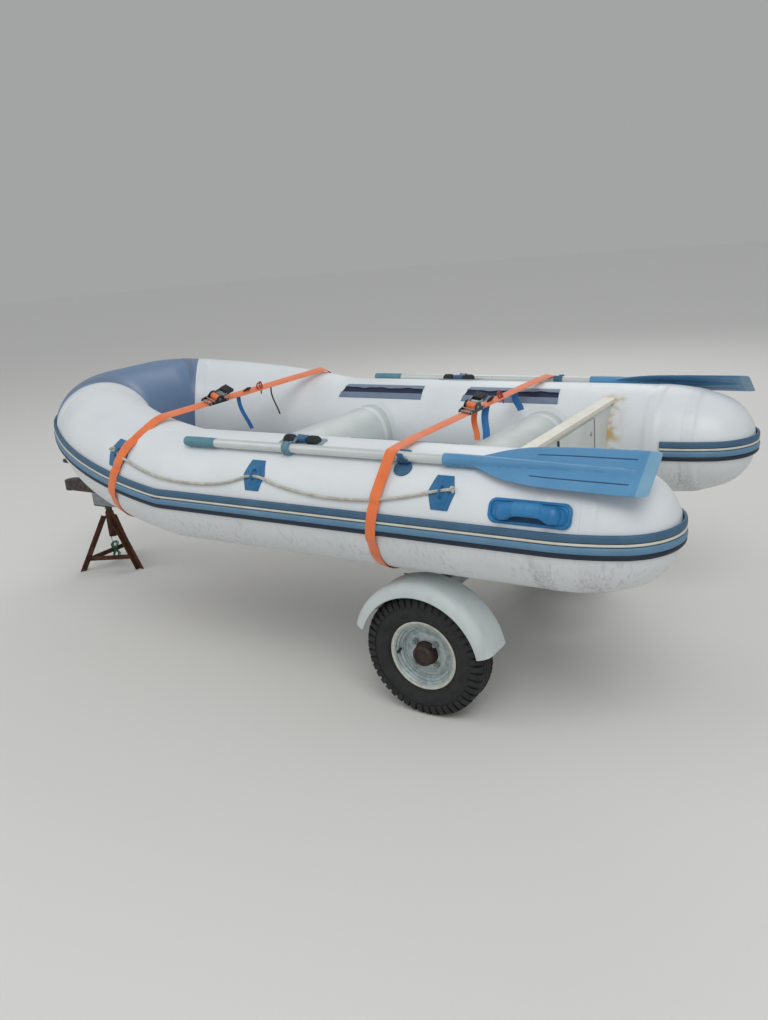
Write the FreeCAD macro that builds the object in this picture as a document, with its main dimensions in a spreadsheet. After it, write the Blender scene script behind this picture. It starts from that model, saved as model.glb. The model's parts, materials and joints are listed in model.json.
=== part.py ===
import FreeCAD, Part
import Sketcher
import math
import os
import re
from FreeCAD import Placement, Rotation, Vector

# Inflatable rib boat strapped down on its single axle road trailer, with a prop stand under the
# drawbar. Millimetres. X runs forward to the bow, Y to port, Z up from the ground.
# The origin is on the ground under the middle of the whole length.

DOC = FreeCAD.newDocument("rib_boat_on_trailer")
SIZES = DOC.addObject("Spreadsheet::Sheet", "Sizes")

# Driving sizes: name, millimetres or degrees, what it is.
# A place along the boat is measured forward of the axle, and "height" is from the ground.
SIZE_ROWS = (
    ("axle_x", -787.3, "axle's place along X"),
    ("clearance", 0.3, "gap between pieces that touch on the real object"),
    # Buoyancy tubes
    ("tube_radius", 198, "outer radius of the tubes"),
    ("tube_side", 509, "tube axis to the centre line"),
    ("tube_height", 665, "height of the tube axis aft of the sheer"),
    ("stern_start", -445, "where the stern cone begins"),
    ("cone_radius", 600, "long arc of the stern cone"),
    ("cone_angle", 20, "turn of that arc"),
    ("sheer_start", 950, "where the tubes begin to rise"),
    ("sheer_radius", 300, "arc of the rise"),
    ("sheer_angle", 9.75, "slope of the raised bow"),
    ("flare_radius", 1120, "long inward arc of the bow"),
    ("flare_angle", 37, "turn of that arc, up to the bow tube's seam"),
    ("shoulder_radius", 220, "tight arc at the bow's shoulder"),
    # Rubbing strake
    ("strake_thickness", 10, "how far the strake stands out"),
    ("strake_width", 70, "height of the strake"),
    ("strake_inboard_turn", 17, "how far the strake follows the cone's long arc inboard"),
    # Rigid hull, deck and transom
    ("keel_height", 440, "height of the keel line"),
    ("chine_inset", 27, "chine inboard of the board's side"),
    ("chine_height", 521, "height of the chine"),
    ("deck_height", 545, "top of the deck"),
    ("deck_thickness", 12, "deck panel"),
    ("hull_aft", -255, "aft end of the hull"),
    ("keel_knee", 900, "where the keel starts to rise"),
    ("forefoot_x", 1300, "middle of the rising keel"),
    ("forefoot_height", 476, "keel height there"),
    ("stem_x", 1700, "front of the hull"),
    ("stem_height", 586, "keel height there"),
    ("transom_thickness", 30, "transom board"),
    ("transom_top", 820, "height of the board's top"),
    ("transom_inset", 97, "tube's axis to the board's side before the tubes trim it"),
    ("cap_width", 44, "transom cap along the boat"),
    ("cap_thickness", 13, "transom cap"),
    # Thwarts and seat rails
    ("thwart_radius", 119, "inflated thwart"),
    ("front_thwart_x", 745, "axis of the front thwart"),
    ("rear_thwart_x", -30, "axis of the rear thwart"),
    ("rail_length", 408, "seat rail"),
    ("rail_width", 83, "seat rail round the tube"),
    ("rail_thickness", 5, "seat rail"),
    ("rail_slot", 24, "width of the rail's slot"),
    ("rail_angle", 32, "rail's place round the tube, inboard of its top"),
    ("front_rail_x", 721, "middle of the front rails"),
    ("rear_rail_x", 128, "middle of the rear rails"),
    # Grab lines
    ("patch_length", 86, "hexagonal rope patch along the tube"),
    ("patch_height", 100, "rope patch round the tube"),
    ("patch_thickness", 2.5, "rope patch"),
    ("patch_angle", 57, "patch's place round the tube, outboard of its top"),
    ("patch_eye", 17, "radius of the patch's raised eye"),
    ("rope_radius", 5, "grab rope"),
    # Carry handles
    ("handle_x", -408, "middle of the carry handle"),
    ("handle_length", 240, "handle's base"),
    ("handle_height", 70, "handle's base round the tube"),
    ("handle_angle", 67, "handle's place round the tube, outboard of its top"),
    ("grip_radius", 11, "handle's grip"),
    ("grip_lift", 26, "grip's axis out from the tube"),
    # Oars
    ("oar_angle", 30, "oar's place round the tube, outboard of its top"),
    ("shaft_radius", 15, "oar shaft"),
    ("shaft_front", 745, "front end of the bare shaft"),
    ("shaft_rear", -150, "end of the bare shaft in the blade's socket"),
    ("oar_grip_radius", 17, "oar grip"),
    ("oar_grip_length", 140, "oar grip"),
    ("socket_radius", 19, "blade's socket"),
    ("blade_front", -122, "front end of the blade's socket"),
    ("blade_rear", -722, "tip of the blade"),
    ("blade_width", 165, "oar blade"),
    ("blade_thickness", 6, "oar blade"),
    ("collar_x", 441, "rowlock collar"),
    ("collar_radius", 22, "rowlock collar"),
    ("collar_length", 26, "rowlock collar"),
    ("rowlock_x", 430, "middle of the rowlock's pad"),
    ("rowlock_length", 170, "rowlock pad"),
    ("rowlock_width", 62, "rowlock pad"),
    ("rowlock_lift", 26, "top of the rowlock out from the tube"),
    ("rowlock_angle", 13, "pad's place round the tube, outboard of its top"),
    ("clip_x", 11, "rear oar clip"),
    ("clip_width", 34, "rear oar clip along the oar"),
    # Lashing straps
    ("strap_width", 35, "webbing"),
    ("strap_thickness", 3, "webbing"),
    ("front_strap_offset", 24.5, "front strap's inner face out from the tube"),
    ("rear_strap_offset", 17, "rear strap's inner face out from the tube"),
    ("front_strap_x", 1190, "front strap where it crosses the tube's axis"),
    ("front_strap_lean", 25, "how far the front strap's foot swings forward"),
    ("rear_strap_x", 85, "rear strap where it crosses the tube's axis"),
    ("rear_strap_lean", 10, "how far the rear strap's foot swings forward"),
    ("ratchet_length", 110, "ratchet along the strap"),
    ("ratchet_width", 48, "ratchet across the strap"),
    ("ratchet_height", 34, "ratchet's side plates"),
    ("front_ratchet_side", 222, "front ratchet's middle to port"),
    ("rear_ratchet_side", 100, "rear ratchet's middle to port"),
    ("front_hook_side", -10, "front strap's hooks to port"),
    ("rear_hook_side", -90, "rear strap's hooks to port"),
    # Trailer frame
    ("spine_width", 60, "square section of the spine"),
    ("spine_wall", 3, "wall of the hollow sections"),
    ("spine_drop", 55, "keel to the top of the spine"),
    ("spine_rear", -330, "rear end of the spine"),
    ("spine_front", 2150, "front end of the spine"),
    ("beam_x", 100, "axle beam"),
    ("beam_width", 50, "square section of the axle beam"),
    ("beam_half", 455, "half the axle beam"),
    ("cross_width", 40, "square section of the cross members"),
    ("cross_half", 285, "half a cross member"),
    ("front_cross_x", 420, "front cross member"),
    ("rear_cross_x", -180, "rear cross member"),
    ("bunk_length", 800, "bunk board"),
    ("bunk_width", 45, "bunk board"),
    ("bunk_side", 250, "bunk board to the centre line"),
    ("bunk_x", 120, "middle of the bunk boards"),
    ("roller_radius", 26, "keel roller"),
    ("cheek_thickness", 4, "roller's cheek plate"),
    ("cheek_width", 40, "roller's cheek plate"),
    ("cheek_drop", 35, "cheek plate down the spine's side"),
    ("front_roller_x", 870, "front keel roller"),
    ("middle_roller_x", 300, "middle keel roller"),
    ("rear_roller_x", -265, "rear keel roller"),
    ("post_x", 2020, "winch post"),
    ("post_width", 40, "square section of the winch post"),
    ("post_rise", 50, "winch post above the middle of the bow snubber"),
    ("snubber_gap", 13, "rubbing strake to the top of the bow snubber"),
    ("snubber_width", 110, "bow snubber across"),
    ("snubber_depth", 60, "bow snubber up and down"),
    # Running gear
    ("wheel_side", 575, "middle plane of the tyre"),
    ("wheel_radius", 206, "tyre tread"),
    ("tyre_width", 110, "tyre at its widest"),
    ("tread_width", 82, "tyre tread"),
    ("bead_radius", 103, "tyre bead on the rim"),
    ("bead_width", 78, "outside of the tyre's beads"),
    ("flange_radius", 116, "rim flange"),
    ("rim_wall", 3, "rim's steel"),
    ("disc_radius", 82, "wheel disc where it meets the rim"),
    ("disc_offset", 12, "wheel disc outboard of the tyre's middle plane"),
    ("hub_radius", 38, "hub body"),
    ("hub_flange_radius", 62, "hub flange"),
    ("hub_flange_thickness", 9, "hub flange"),
    ("hub_cap_radius", 35, "bare outer end of the hub"),
    ("hub_cap_length", 38, "hub's end out from the disc"),
    ("stud_circle", 101.6, "pitch circle of the wheel studs"),
    ("stud_radius", 6, "wheel stud"),
    ("nut_radius", 10, "wheel nut"),
    ("nut_height", 11, "wheel nut"),
    ("stub_radius", 13, "stub axle"),
    ("arm_width", 46, "swing arm"),
    ("arm_thickness", 14, "swing arm"),
    # Mudguards
    ("guard_radius", 249, "outside of the mudguard"),
    ("guard_inner_side", 500, "mudguard's inner edge"),
    ("guard_width", 150, "mudguard"),
    ("guard_wall", 3, "mudguard's plastic"),
    ("guard_lip", 40, "mudguard's side lips down from its crown"),
    ("guard_corner", 26, "mudguard's rounded edges"),
    ("bracket_width", 36, "mudguard bracket along the trailer"),
    ("bracket_length", 100, "each leg of the mudguard bracket"),
    ("bracket_thickness", 4, "mudguard bracket's steel"),
    ("guard_sweep", 149, "arc of the mudguard"),
    ("guard_tilt", 4.5, "how far its middle leans aft"),
    # Coupling
    ("ball_x", 2310, "middle of the ball socket"),
    ("ball_radius", 25.5, "ball socket"),
    ("socket_depth", 30, "ball socket"),
    ("coupling_radius", 38, "outside of the socket's cup"),
    ("coupling_height", 58, "coupling body"),
    ("coupling_rear", 2070, "rear end of the coupling body"),
    ("lever_top", 535, "top of the coupling lever"),
    # Prop stand
    ("stand_x", 2120, "stand"),
    ("stand_side", -30, "stand to the centre line"),
    ("stand_reach", 155, "foot to the stand's axis"),
    ("stand_turn", 58, "direction of the first leg"),
    ("leg_width", 26, "angle iron leg"),
    ("leg_wall", 4, "angle iron leg"),
    ("riser_length", 43, "bare pipe between the stand's column and its saddle"),
    ("column_radius", 20, "stand's column"),
    ("column_foot", 150, "lower end of the column"),
    ("saddle_thickness", 7, "stand's saddle"),
    ("brace_height", 45, "base bars"),
    ("brace_width", 22, "base bars"),
)
ALIASES = {name for name, _, _ in SIZE_ROWS}
for row, (name, size, note) in enumerate(SIZE_ROWS, start=1):
    SIZES.set("A%d" % row, note)
    SIZES.set("B%d" % row, str(size))
    SIZES.setAlias("B%d" % row, name)
DOC.recompute()

ALONG = {
    "x": Rotation(Vector(0, 1, 0), 90),
    "y": Rotation(Vector(1, 0, 0), -90),
    "z": Rotation(),
}
UP = Vector(0, 0, 1)
PORT = Vector(0, 1, 0)
FORWARD = Vector(1, 0, 0)
EYE_TURN = Rotation(Vector(0, 1, 0), Vector(0, 0, 1), Vector(1, 0, 0), "XYZ")
NODES = []


# Places that follow from the sheet's sizes
WORKED_OUT = {
    "transom_half": "(tube_side - transom_inset)",
    "chine_side": "(transom_half - chine_inset)",
    "spine_height": "(keel_height - spine_drop - spine_width)",
    "tip_rise": "(flare_radius * sin(flare_angle * 1deg) + shoulder_radius * (1 - sin(flare_angle * 1deg)))",
    "tip_height": "(tube_height + sheer_radius * (1 - cos(sheer_angle * 1deg)) + tip_rise * sin(sheer_angle * 1deg))",
    "snubber_height": "(tip_height - strake_width / 2 - snubber_gap - snubber_depth / 2)",
    "post_top": "(snubber_height + post_rise)",
    "saddle_floor": "(spine_height - clearance - saddle_thickness)",
    "leg_top": "(saddle_floor - riser_length - 25)",
}


def as_cell(word):
    """A size's own cell, or the formula of a place that is worked out."""
    if word in WORKED_OUT:
        return formula(WORKED_OUT[word])
    return "Sizes." + word if word in ALIASES else word


def formula(text):
    """Write the names in a formula as the sheet's own cells."""
    return re.sub(r"[a-z]\w*", lambda found: as_cell(found[0]), str(text))


def number(text):
    """Work out a formula in the sheet's sizes."""
    return float(SIZES.evalExpression(formula(text)))


def bind(thing, prop, text):
    thing.setExpression(prop, formula(text))


def place(thing, at, turn=None):
    """Put a piece at (x, y, z), with x measured forward of the axle."""
    if turn is not None:
        thing.Placement = Placement(Vector(), turn)
    for axis, text in zip("xyz", ("axle_x + (%s)" % at[0], at[1], at[2])):
        bind(thing, "Placement.Base." + axis, text)
    return thing


def rod(name, radius, length, at, axis="z"):
    """A round bar from at along an axis."""
    thing = DOC.addObject("Part::Cylinder", name)
    bind(thing, "Radius", radius)
    bind(thing, "Height", length)
    return place(thing, at, ALONG[axis])


def block(name, sides, middle):
    """A square bar with its middle at a place."""
    thing = DOC.addObject("Part::Box", name)
    for prop, text in zip(("Length", "Width", "Height"), sides):
        bind(thing, prop, text)
    return place(thing, ["(%s) - (%s)/2" % pair for pair in zip(middle, sides)])


def fuse(name, things):
    thing = DOC.addObject("Part::MultiFuse", name)
    thing.Shapes = things
    return thing


def cut(name, base, tool):
    thing = DOC.addObject("Part::Cut", name)
    thing.Base = base
    thing.Tool = tool
    return thing


def common(name, base, tool):
    thing = DOC.addObject("Part::Common", name)
    thing.Base = base
    thing.Tool = tool
    return thing


def together(name, things):
    """Like pieces that don't touch, kept as separate solids."""
    thing = DOC.addObject("Part::Compound", name)
    thing.Links = things
    return thing


def mirrored(name, source):
    """The starboard twin of a port piece."""
    thing = DOC.addObject("Part::Mirroring", name)
    thing.Source = source
    thing.Normal = PORT
    return thing


def both_sides(name, port):
    return together(name, [port, mirrored(name + "_starboard", port)])


def shaped(name, shape):
    """A piece whose shape is worked out here, forward of the axle."""
    thing = DOC.addObject("Part::Feature", name)
    thing.Shape = shape
    thing.Placement = Placement(Vector(number("axle_x"), 0, 0), Rotation())
    return thing


def keep(thing, label):
    """Hand a piece in under its own plain name."""
    thing.Label = label
    NODES.append(thing)
    return thing


def body_plane(body, role):
    return next(part for part in body.Origin.OriginFeatures if part.Role == role)


def sketch(body, name, role, rows, offset=None):
    """A closed outline on a plane of the body's origin.

    A row is (u, v) where a straight line leaves the point, or (u, v, radius, side) where an arc
    does: side 1 turns anticlockwise, -1 clockwise.
    """
    drawing = body.newObject("Sketcher::SketchObject", name)
    drawing.AttachmentSupport = [(body_plane(body, role), "")]
    drawing.MapMode = "FlatFace"
    if offset is not None:
        bind(drawing, "AttachmentOffset.Base.z", offset)
    points = [Vector(number(row[0]), number(row[1]), 0) for row in rows]
    for index, row in enumerate(rows):
        start, end = points[index], points[(index + 1) % len(points)]
        if len(row) == 2:
            drawing.addGeometry(Part.LineSegment(start, end), False)
            continue
        radius, side = number(row[2]), row[3]
        chord = end - start
        across = Vector(-chord.y, chord.x, 0).normalize() * side
        centre = (start + end) / 2 + across * math.sqrt(radius ** 2 - (chord.Length / 2) ** 2)
        middle = centre - across * radius
        drawing.addGeometry(Part.Arc(start, middle, end), False)
    ends = []
    for index, row in enumerate(rows):
        forwards = len(row) == 2 or row[3] == 1
        ends.append((1, 2) if forwards else (2, 1))
    for index, row in enumerate(rows):
        following = (index + 1) % len(rows)
        drawing.addConstraint(Sketcher.Constraint(
            "Coincident", index, ends[index][1], following, ends[following][0]))
    for index, row in enumerate(rows):
        for kind, text, value in (("DistanceX", row[0], points[index].x),
                                  ("DistanceY", row[1], points[index].y)):
            made = drawing.addConstraint(Sketcher.Constraint(
                kind, -1, 1, index, ends[index][0], value))
            bind(drawing, "Constraints[%d]" % made, text)
        if len(row) > 2:
            made = drawing.addConstraint(Sketcher.Constraint("Radius", index, number(row[2])))
            bind(drawing, "Constraints[%d]" % made, row[2])
    return drawing


def padded(name, role, rows, length, at=None, turn=None):
    """An outline on XY, XZ or YZ, made thick to both sides of its plane."""
    body = DOC.addObject("PartDesign::Body", name)
    drawing = sketch(body, name + "_outline", role, rows)
    pad = body.newObject("PartDesign::Pad", name + "_pad")
    pad.Profile = drawing
    pad.Midplane = True
    bind(pad, "Length", length)
    return body if at is None else place(body, at, turn)


def turned(name, rows, at, angle="360", turn=None):
    """A profile on YZ, turned about the wheel's axis, which is the sketch's level line."""
    body = DOC.addObject("PartDesign::Body", name)
    drawing = sketch(body, name + "_profile", "YZ_Plane", rows)
    spin = body.newObject("PartDesign::Revolution", name + "_revolution")
    spin.Profile = drawing
    spin.ReferenceAxis = (drawing, ["H_Axis"])
    spin.Midplane = True
    bind(spin, "Angle", angle)
    return place(body, at, turn)


class Walker:
    """Carries a flat section along straights and arcs, and leaves a solid behind each."""

    def __init__(self, section, start, heading):
        self.section = section
        self.at = start
        self.heading = heading
        self.solids = []

    def ahead(self, length):
        step = self.heading * length
        self.solids.append(self.section.extrude(step))
        self.section = self.section.translated(step)
        self.at = self.at + step

    def turn(self, radius, degrees, towards):
        centre = self.at + towards * radius
        axis = self.heading.cross(towards)
        self.solids.append(self.section.revolve(centre, axis, degrees))
        spin = Rotation(axis, degrees)
        self.section = self.section.rotated(centre, axis, degrees)
        self.at = centre + spin.multVec(self.at - centre)
        self.heading = spin.multVec(self.heading)
        return spin.multVec(towards)

    def solid(self):
        first, *others = self.solids
        return first.multiFuse(others).removeSplitter() if others else first


def stern_axis():
    """The port tube's axis where its stern cone begins."""
    return Vector(number("stern_start"), number("tube_side"), number("tube_height"))


def round_section(radius, start, heading):
    return Part.Face(Part.Wire(Part.makeCircle(radius, start, heading)))


def tip_radius():
    """The tight arc that closes the stern cone."""
    shrink = number("cone_radius * (1 - cos(cone_angle * 1deg))")
    return (number("tube_radius") - shrink) / math.cos(math.radians(number("cone_angle")))


def stern_cone(radius_gain):
    """The closed stern end of the port tube: a long arc and a tight one, spun about the axis."""
    start = stern_axis()
    edge = start + PORT * (number("tube_radius") + radius_gain)
    long_arc = number("cone_radius") + radius_gain
    turn = math.radians(number("cone_angle"))
    middle = start + PORT * (number("tube_radius") - number("cone_radius"))

    def on_long_arc(angle):
        return middle + PORT * (long_arc * math.cos(angle)) - FORWARD * (long_arc * math.sin(angle))

    knee = on_long_arc(turn)
    tight = tip_radius() + radius_gain
    hub = Vector(knee.x + tight * math.sin(turn), start.y, start.z)
    tip = hub - FORWARD * tight
    between = math.radians((number("cone_angle") + 90) / 2)
    bend = hub + PORT * (tight * math.cos(between)) - FORWARD * (tight * math.sin(between))
    outline = Part.Wire([
        Part.makeLine(start, edge),
        Part.Arc(edge, on_long_arc(turn / 2), knee).toShape(),
        Part.Arc(knee, bend, tip).toShape(),
        Part.makeLine(tip, start),
    ])
    return Part.Face(outline).revolve(start, FORWARD, 360)


def bow_cross_length():
    """The straight of the bow tube between its two shoulders."""
    turn = math.radians(number("flare_angle"))
    used = (number("flare_radius") * (1 - math.cos(turn))
            + number("shoulder_radius") * math.cos(turn))
    return 2 * (number("tube_side") - used)


def walk_side(walker):
    """From the stern cone to the seam of the bow tube."""
    walker.ahead(number("sheer_start - stern_start"))
    walker.turn(number("sheer_radius"), number("sheer_angle"), UP)
    return walker.turn(number("flare_radius"), number("flare_angle"), -PORT)


def walk_bow(walker, inward):
    """Shoulder, cross tube and shoulder, from the port seam to the starboard one."""
    rest = 90 - number("flare_angle")
    inward = walker.turn(number("shoulder_radius"), rest, inward)
    walker.ahead(bow_cross_length())
    walker.turn(number("shoulder_radius"), rest, inward)


def side_tube(radius_gain=0.0):
    start = stern_axis()
    walker = Walker(round_section(number("tube_radius") + radius_gain, start, FORWARD), start, FORWARD)
    inward = walk_side(walker)
    walker.solids.append(stern_cone(radius_gain))
    return walker, inward


def bow_tube(radius_gain=0.0):
    walker, inward = side_tube(radius_gain)
    bow = Walker(walker.section, walker.at, walker.heading)
    walk_bow(bow, inward)
    return bow.solid()


def gunwale(radius_gain):
    """All the tubes as one solid, to trim what meets them."""
    port = side_tube(radius_gain)[0].solid()
    return port.multiFuse([port.mirror(Vector(), PORT), bow_tube(radius_gain)])


def strake():
    """The rubbing strake: round each stern cone from inboard, along the side and round the bow."""
    start = stern_axis()
    inner, outer = number("tube_radius + clearance"), number("tube_radius + strake_thickness")
    half = number("strake_width / 2")
    bevel = number("strake_thickness") / 2
    corners = [Vector(start.x, start.y + side, start.z + up) for side, up in (
        (inner, -half), (outer - bevel, -half), (outer, bevel - half),
        (outer, half - bevel), (outer - bevel, half), (inner, half))]
    section = Part.Face(Part.makePolygon(corners + corners[:1]))
    aft = Walker(section, start + PORT * number("tube_radius"), -FORWARD)
    towards = aft.turn(number("cone_radius"), number("cone_angle"), -PORT)
    towards = aft.turn(tip_radius(), 180 - 2 * number("cone_angle"), towards)
    aft.turn(number("cone_radius"), number("strake_inboard_turn"), towards)
    side = Walker(section, start, FORWARD)
    inward = walk_side(side)
    solids = aft.solids + side.solids
    bow = Walker(side.section, side.at, side.heading)
    walk_bow(bow, inward)
    starboard = [solid.mirror(Vector(), PORT) for solid in solids]
    return solids[0].multiFuse(solids[1:] + starboard + bow.solids)


def tube_frame(x):
    """The port tube's axis at a place: its own X runs along it and its Z points up."""
    slope, rise = math.radians(number("sheer_angle")), number("sheer_radius")
    knee = number("sheer_start") + rise * math.sin(slope)
    side, height = number("tube_side"), number("tube_height")
    if x <= number("sheer_start"):
        return Placement(Vector(x, side, height), Rotation())
    if x <= knee:
        lean = math.asin((x - number("sheer_start")) / rise)
        height += rise * (1 - math.cos(lean))
        return Placement(Vector(x, side, height), Rotation(PORT, -math.degrees(lean)))
    flare = number("flare_radius")
    turn = math.asin((x - knee) / math.cos(slope) / flare)
    side -= flare * (1 - math.cos(turn))
    height += rise * (1 - math.cos(slope)) + flare * math.sin(turn) * math.sin(slope)
    raised = Rotation(PORT, -math.degrees(slope))
    return Placement(Vector(x, side, height), raised * Rotation(UP, -math.degrees(turn)))


def skin_frame(x, angle, lift=0.0):
    """A place on the port tube's skin, turned outboard of its top: Z points out of the skin."""
    out = Placement(Vector(), Rotation(FORWARD, -number(angle)))
    reach = Placement(Vector(0, 0, number("tube_radius") + lift), Rotation())
    return Placement(Vector(number("axle_x"), 0, 0), Rotation()) * tube_frame(number(x)) * out * reach


def on_skin(thing, x, angle, lift=0.0, turn=None):
    """Stand a piece on the port tube's skin, at its own origin."""
    thing.Placement = skin_frame(x, angle, lift) * Placement(Vector(), turn or Rotation())
    return thing


def skin_pad(name, rows, thickness, x, angle):
    """A fitting that lies on the tube's skin, cut to an outline seen square on."""
    prism = padded(name + "_prism", "XY_Plane", rows, "tube_radius")
    on_skin(prism, x, angle)
    outside = DOC.addObject("Part::Cylinder", name + "_outside")
    bind(outside, "Radius", "tube_radius + (%s)" % thickness)
    bind(outside, "Height", "2 * tube_radius + rail_length")
    middle = Placement(Vector(0, 0, -number("tube_radius + rail_length / 2")), Rotation())
    along = Placement(Vector(0, 0, -number("tube_radius")), ALONG["x"])
    outside.Placement = skin_frame(x, angle) * along * middle
    return cut(name, common(name + "_shell", outside, prism), tubes_keepout)


# Tubes
keep(shaped("PortTube", side_tube()[0].solid()), "port_tube")
keep(shaped("StarboardTube", side_tube()[0].solid().mirror(Vector(), PORT)), "starboard_tube")
keep(shaped("BowTube", bow_tube()), "bow_tube")
keep(shaped("RubbingStrake", strake()), "rubbing_strake")
tubes_keepout = shaped("TubesKeepout", gunwale(number("clearance")))

# Rigid hull: half sections from the keel out. Columns: place, keel height, chine side, chine
# height, deck edge.
HULL_SECTIONS = (
    ("hull_aft", "keel_height", "chine_side", "chine_height", "transom_half"),
    ("keel_knee", "keel_height", "chine_side", "chine_height", "transom_half"),
    ("forefoot_x", "forefoot_height", "chine_side - 65", "chine_height + 7", "transom_half - 60"),
    ("stem_x", "stem_height", "chine_side - 325", "stem_height + 8", "chine_side - 305"),
)
hull_block = DOC.addObject("PartDesign::Body", "HullBlock")
hull_sections = []
for index, (x, keel, chine, chine_z, edge) in enumerate(HULL_SECTIONS):
    top = "deck_height - deck_thickness" if index < 3 else "stem_height + 14"
    hull_sections.append(sketch(hull_block, "HullSection%d" % index, "YZ_Plane", (
        ("0", keel), (chine, chine_z), (edge, top), ("-(%s)" % edge, top),
        ("-(%s)" % chine, chine_z)), offset=x))
hull_loft = hull_block.newObject("PartDesign::AdditiveLoft", "HullLoft")
hull_loft.Profile = hull_sections[0]
hull_loft.Sections = hull_sections[1:]
hull_loft.Ruled = True
place(hull_block, ("0", "0", "0"))
keep(cut("Hull", hull_block, tubes_keepout), "rigid_hull")

deck_blank = padded("DeckBlank", "XY_Plane", (
    ("hull_aft", "-transom_half"), ("keel_knee", "-transom_half"),
    ("forefoot_x", "60 - transom_half"), ("forefoot_x", "transom_half - 60"),
    ("keel_knee", "transom_half"), ("hull_aft", "transom_half")), "deck_thickness",
    ("0", "0", "deck_height - deck_thickness / 2"))
keep(cut("Deck", deck_blank, tubes_keepout), "deck_panel")

transom_blank = padded("TransomBlank", "YZ_Plane", (
    ("0", "keel_height"), ("chine_side", "chine_height"), ("transom_half", "deck_height"),
    ("transom_half", "transom_top"), ("-transom_half", "transom_top"),
    ("-transom_half", "deck_height"), ("-chine_side", "chine_height")),
    "transom_thickness", ("hull_aft - transom_thickness / 2", "0", "0"))
keep(cut("Transom", transom_blank, tubes_keepout), "transom")
cap_blank = block("CapBlank", ("cap_width", "2 * transom_half - 20", "cap_thickness"),
                  ("hull_aft - transom_thickness / 2", "0", "transom_top + cap_thickness / 2"))
keep(cut("TransomCap", cap_blank, tubes_keepout), "transom_cap")

# Inflated thwarts between the tubes
for label, x in (("front_thwart", "front_thwart_x"), ("rear_thwart", "rear_thwart_x")):
    blank = rod(label + "_blank", "thwart_radius", "2 * tube_side - 100",
                (x, "-tube_side + 50", "tube_height"), "y")
    keep(cut(label + "_trimmed", blank, tubes_keepout), label)

# Seat rails: slotted strips on the inboard upper face of each tube
rails = []
for label, x in (("FrontRail", "front_rail_x"), ("RearRail", "rear_rail_x")):
    strip = skin_pad(label, (
        ("-rail_length / 2", "-rail_width / 2"), ("rail_length / 2", "-rail_width / 2"),
        ("rail_length / 2 - 14", "rail_width / 2"), ("14 - rail_length / 2", "rail_width / 2")),
        "rail_thickness", x, "-rail_angle")
    half, slot = "(rail_length / 2 - 30)", "rail_slot / 2"
    mouth = padded(label + "_slot", "XY_Plane", (
        ("-" + half, "-" + slot), (half, "-" + slot), (half, slot), ("-" + half, slot)), "20")
    on_skin(mouth, x, "-rail_angle", number("rail_thickness / 2") + 10)
    slotted = cut(label + "_slotted", strip, mouth)
    rails += [slotted, mirrored(label + "_starboard", slotted)]
keep(together("SeatRails", rails), "seat_rails")

# Rope patches: pointed top and bottom, with a raised eye. Columns: place, turn round the tube.
PATCHES = (("1165", "patch_angle + 2"), ("545", "patch_angle"), ("-137", "patch_angle"))
patches = []
for index, (x, angle) in enumerate(PATCHES):
    name = "RopePatch%d" % index
    plate = skin_pad(name, (
        ("0", "-patch_height / 2"), ("patch_length / 2", "-patch_height / 4"),
        ("patch_length / 2", "patch_height / 4"), ("0", "patch_height / 2"),
        ("-patch_length / 2", "patch_height / 4"), ("-patch_length / 2", "-patch_height / 4")),
        "patch_thickness", x, angle)
    eye = DOC.addObject("Part::Torus", name + "_eye")
    bind(eye, "Radius1", "patch_eye")
    bind(eye, "Radius2", "patch_eye / 5")
    eye.Angle3 = 180
    on_skin(eye, x, angle, number("patch_thickness") - 0.5, EYE_TURN)
    patch = fuse(name + "_whole", [plate, eye])
    patches += [patch, mirrored(name + "_starboard", patch)]
keep(together("RopePatches", patches), "rope_patches")

# Grab ropes: points of the port rope from bow to stern, forward of the axle, to port and up
ROPE_ROUTE = (
    (1205, 664, 816), (1165, 676, 802), (1095, 689, 777), (1000, 699, 748), (880, 704, 733),
    (760, 704, 732), (650, 699, 744), (545, 682, 779), (450, 695, 753), (340, 702, 738),
    (225, 704, 730), (110, 703, 735), (0, 697, 750), (-80, 687, 768), (-137, 680, 780),
    (-172, 677, 785),
)


def rope(points, radius):
    """A tube on straight runs joined by tangent arcs, each as large as its runs allow."""
    edges, radii = [], []
    start = points[0]
    for before, corner, after in zip(points, points[1:], points[2:]):
        back, on = before - corner, after - corner
        half_turn = (math.pi - back.getAngle(on)) / 2
        reach = 0.45 * min(back.Length, on.Length)
        radii.append(reach / math.tan(half_turn))
        begin = corner + back.normalize() * reach
        end = corner + on.normalize() * reach
        inward = (back + on).normalize()
        depth = radii[-1] / math.cos(half_turn) - radii[-1]
        edges.append(Part.makeLine(start, begin))
        edges.append(Part.Arc(begin, corner + inward * depth, end).toShape())
        start = end
    edges.append(Part.makeLine(start, points[-1]))
    path = Part.Wire(edges)
    ring = Part.Wire(Part.makeCircle(radius, points[0], points[1] - points[0]))
    tube = path.makePipeShell([ring], True, False)
    length = path.Length
    print("rope length %.0f, volume ratio %.4f" % (
        length, tube.Volume / (math.pi * radius ** 2 * length)))
    print("rope arc radii " + " ".join("%.0f" % r for r in radii))
    return tube


port_rope = rope([Vector(*point) for point in ROPE_ROUTE], number("rope_radius"))
keep(shaped("PortRope", port_rope), "port_grab_rope")
keep(shaped("StarboardRope", port_rope.mirror(Vector(), PORT)), "starboard_grab_rope")


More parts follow.
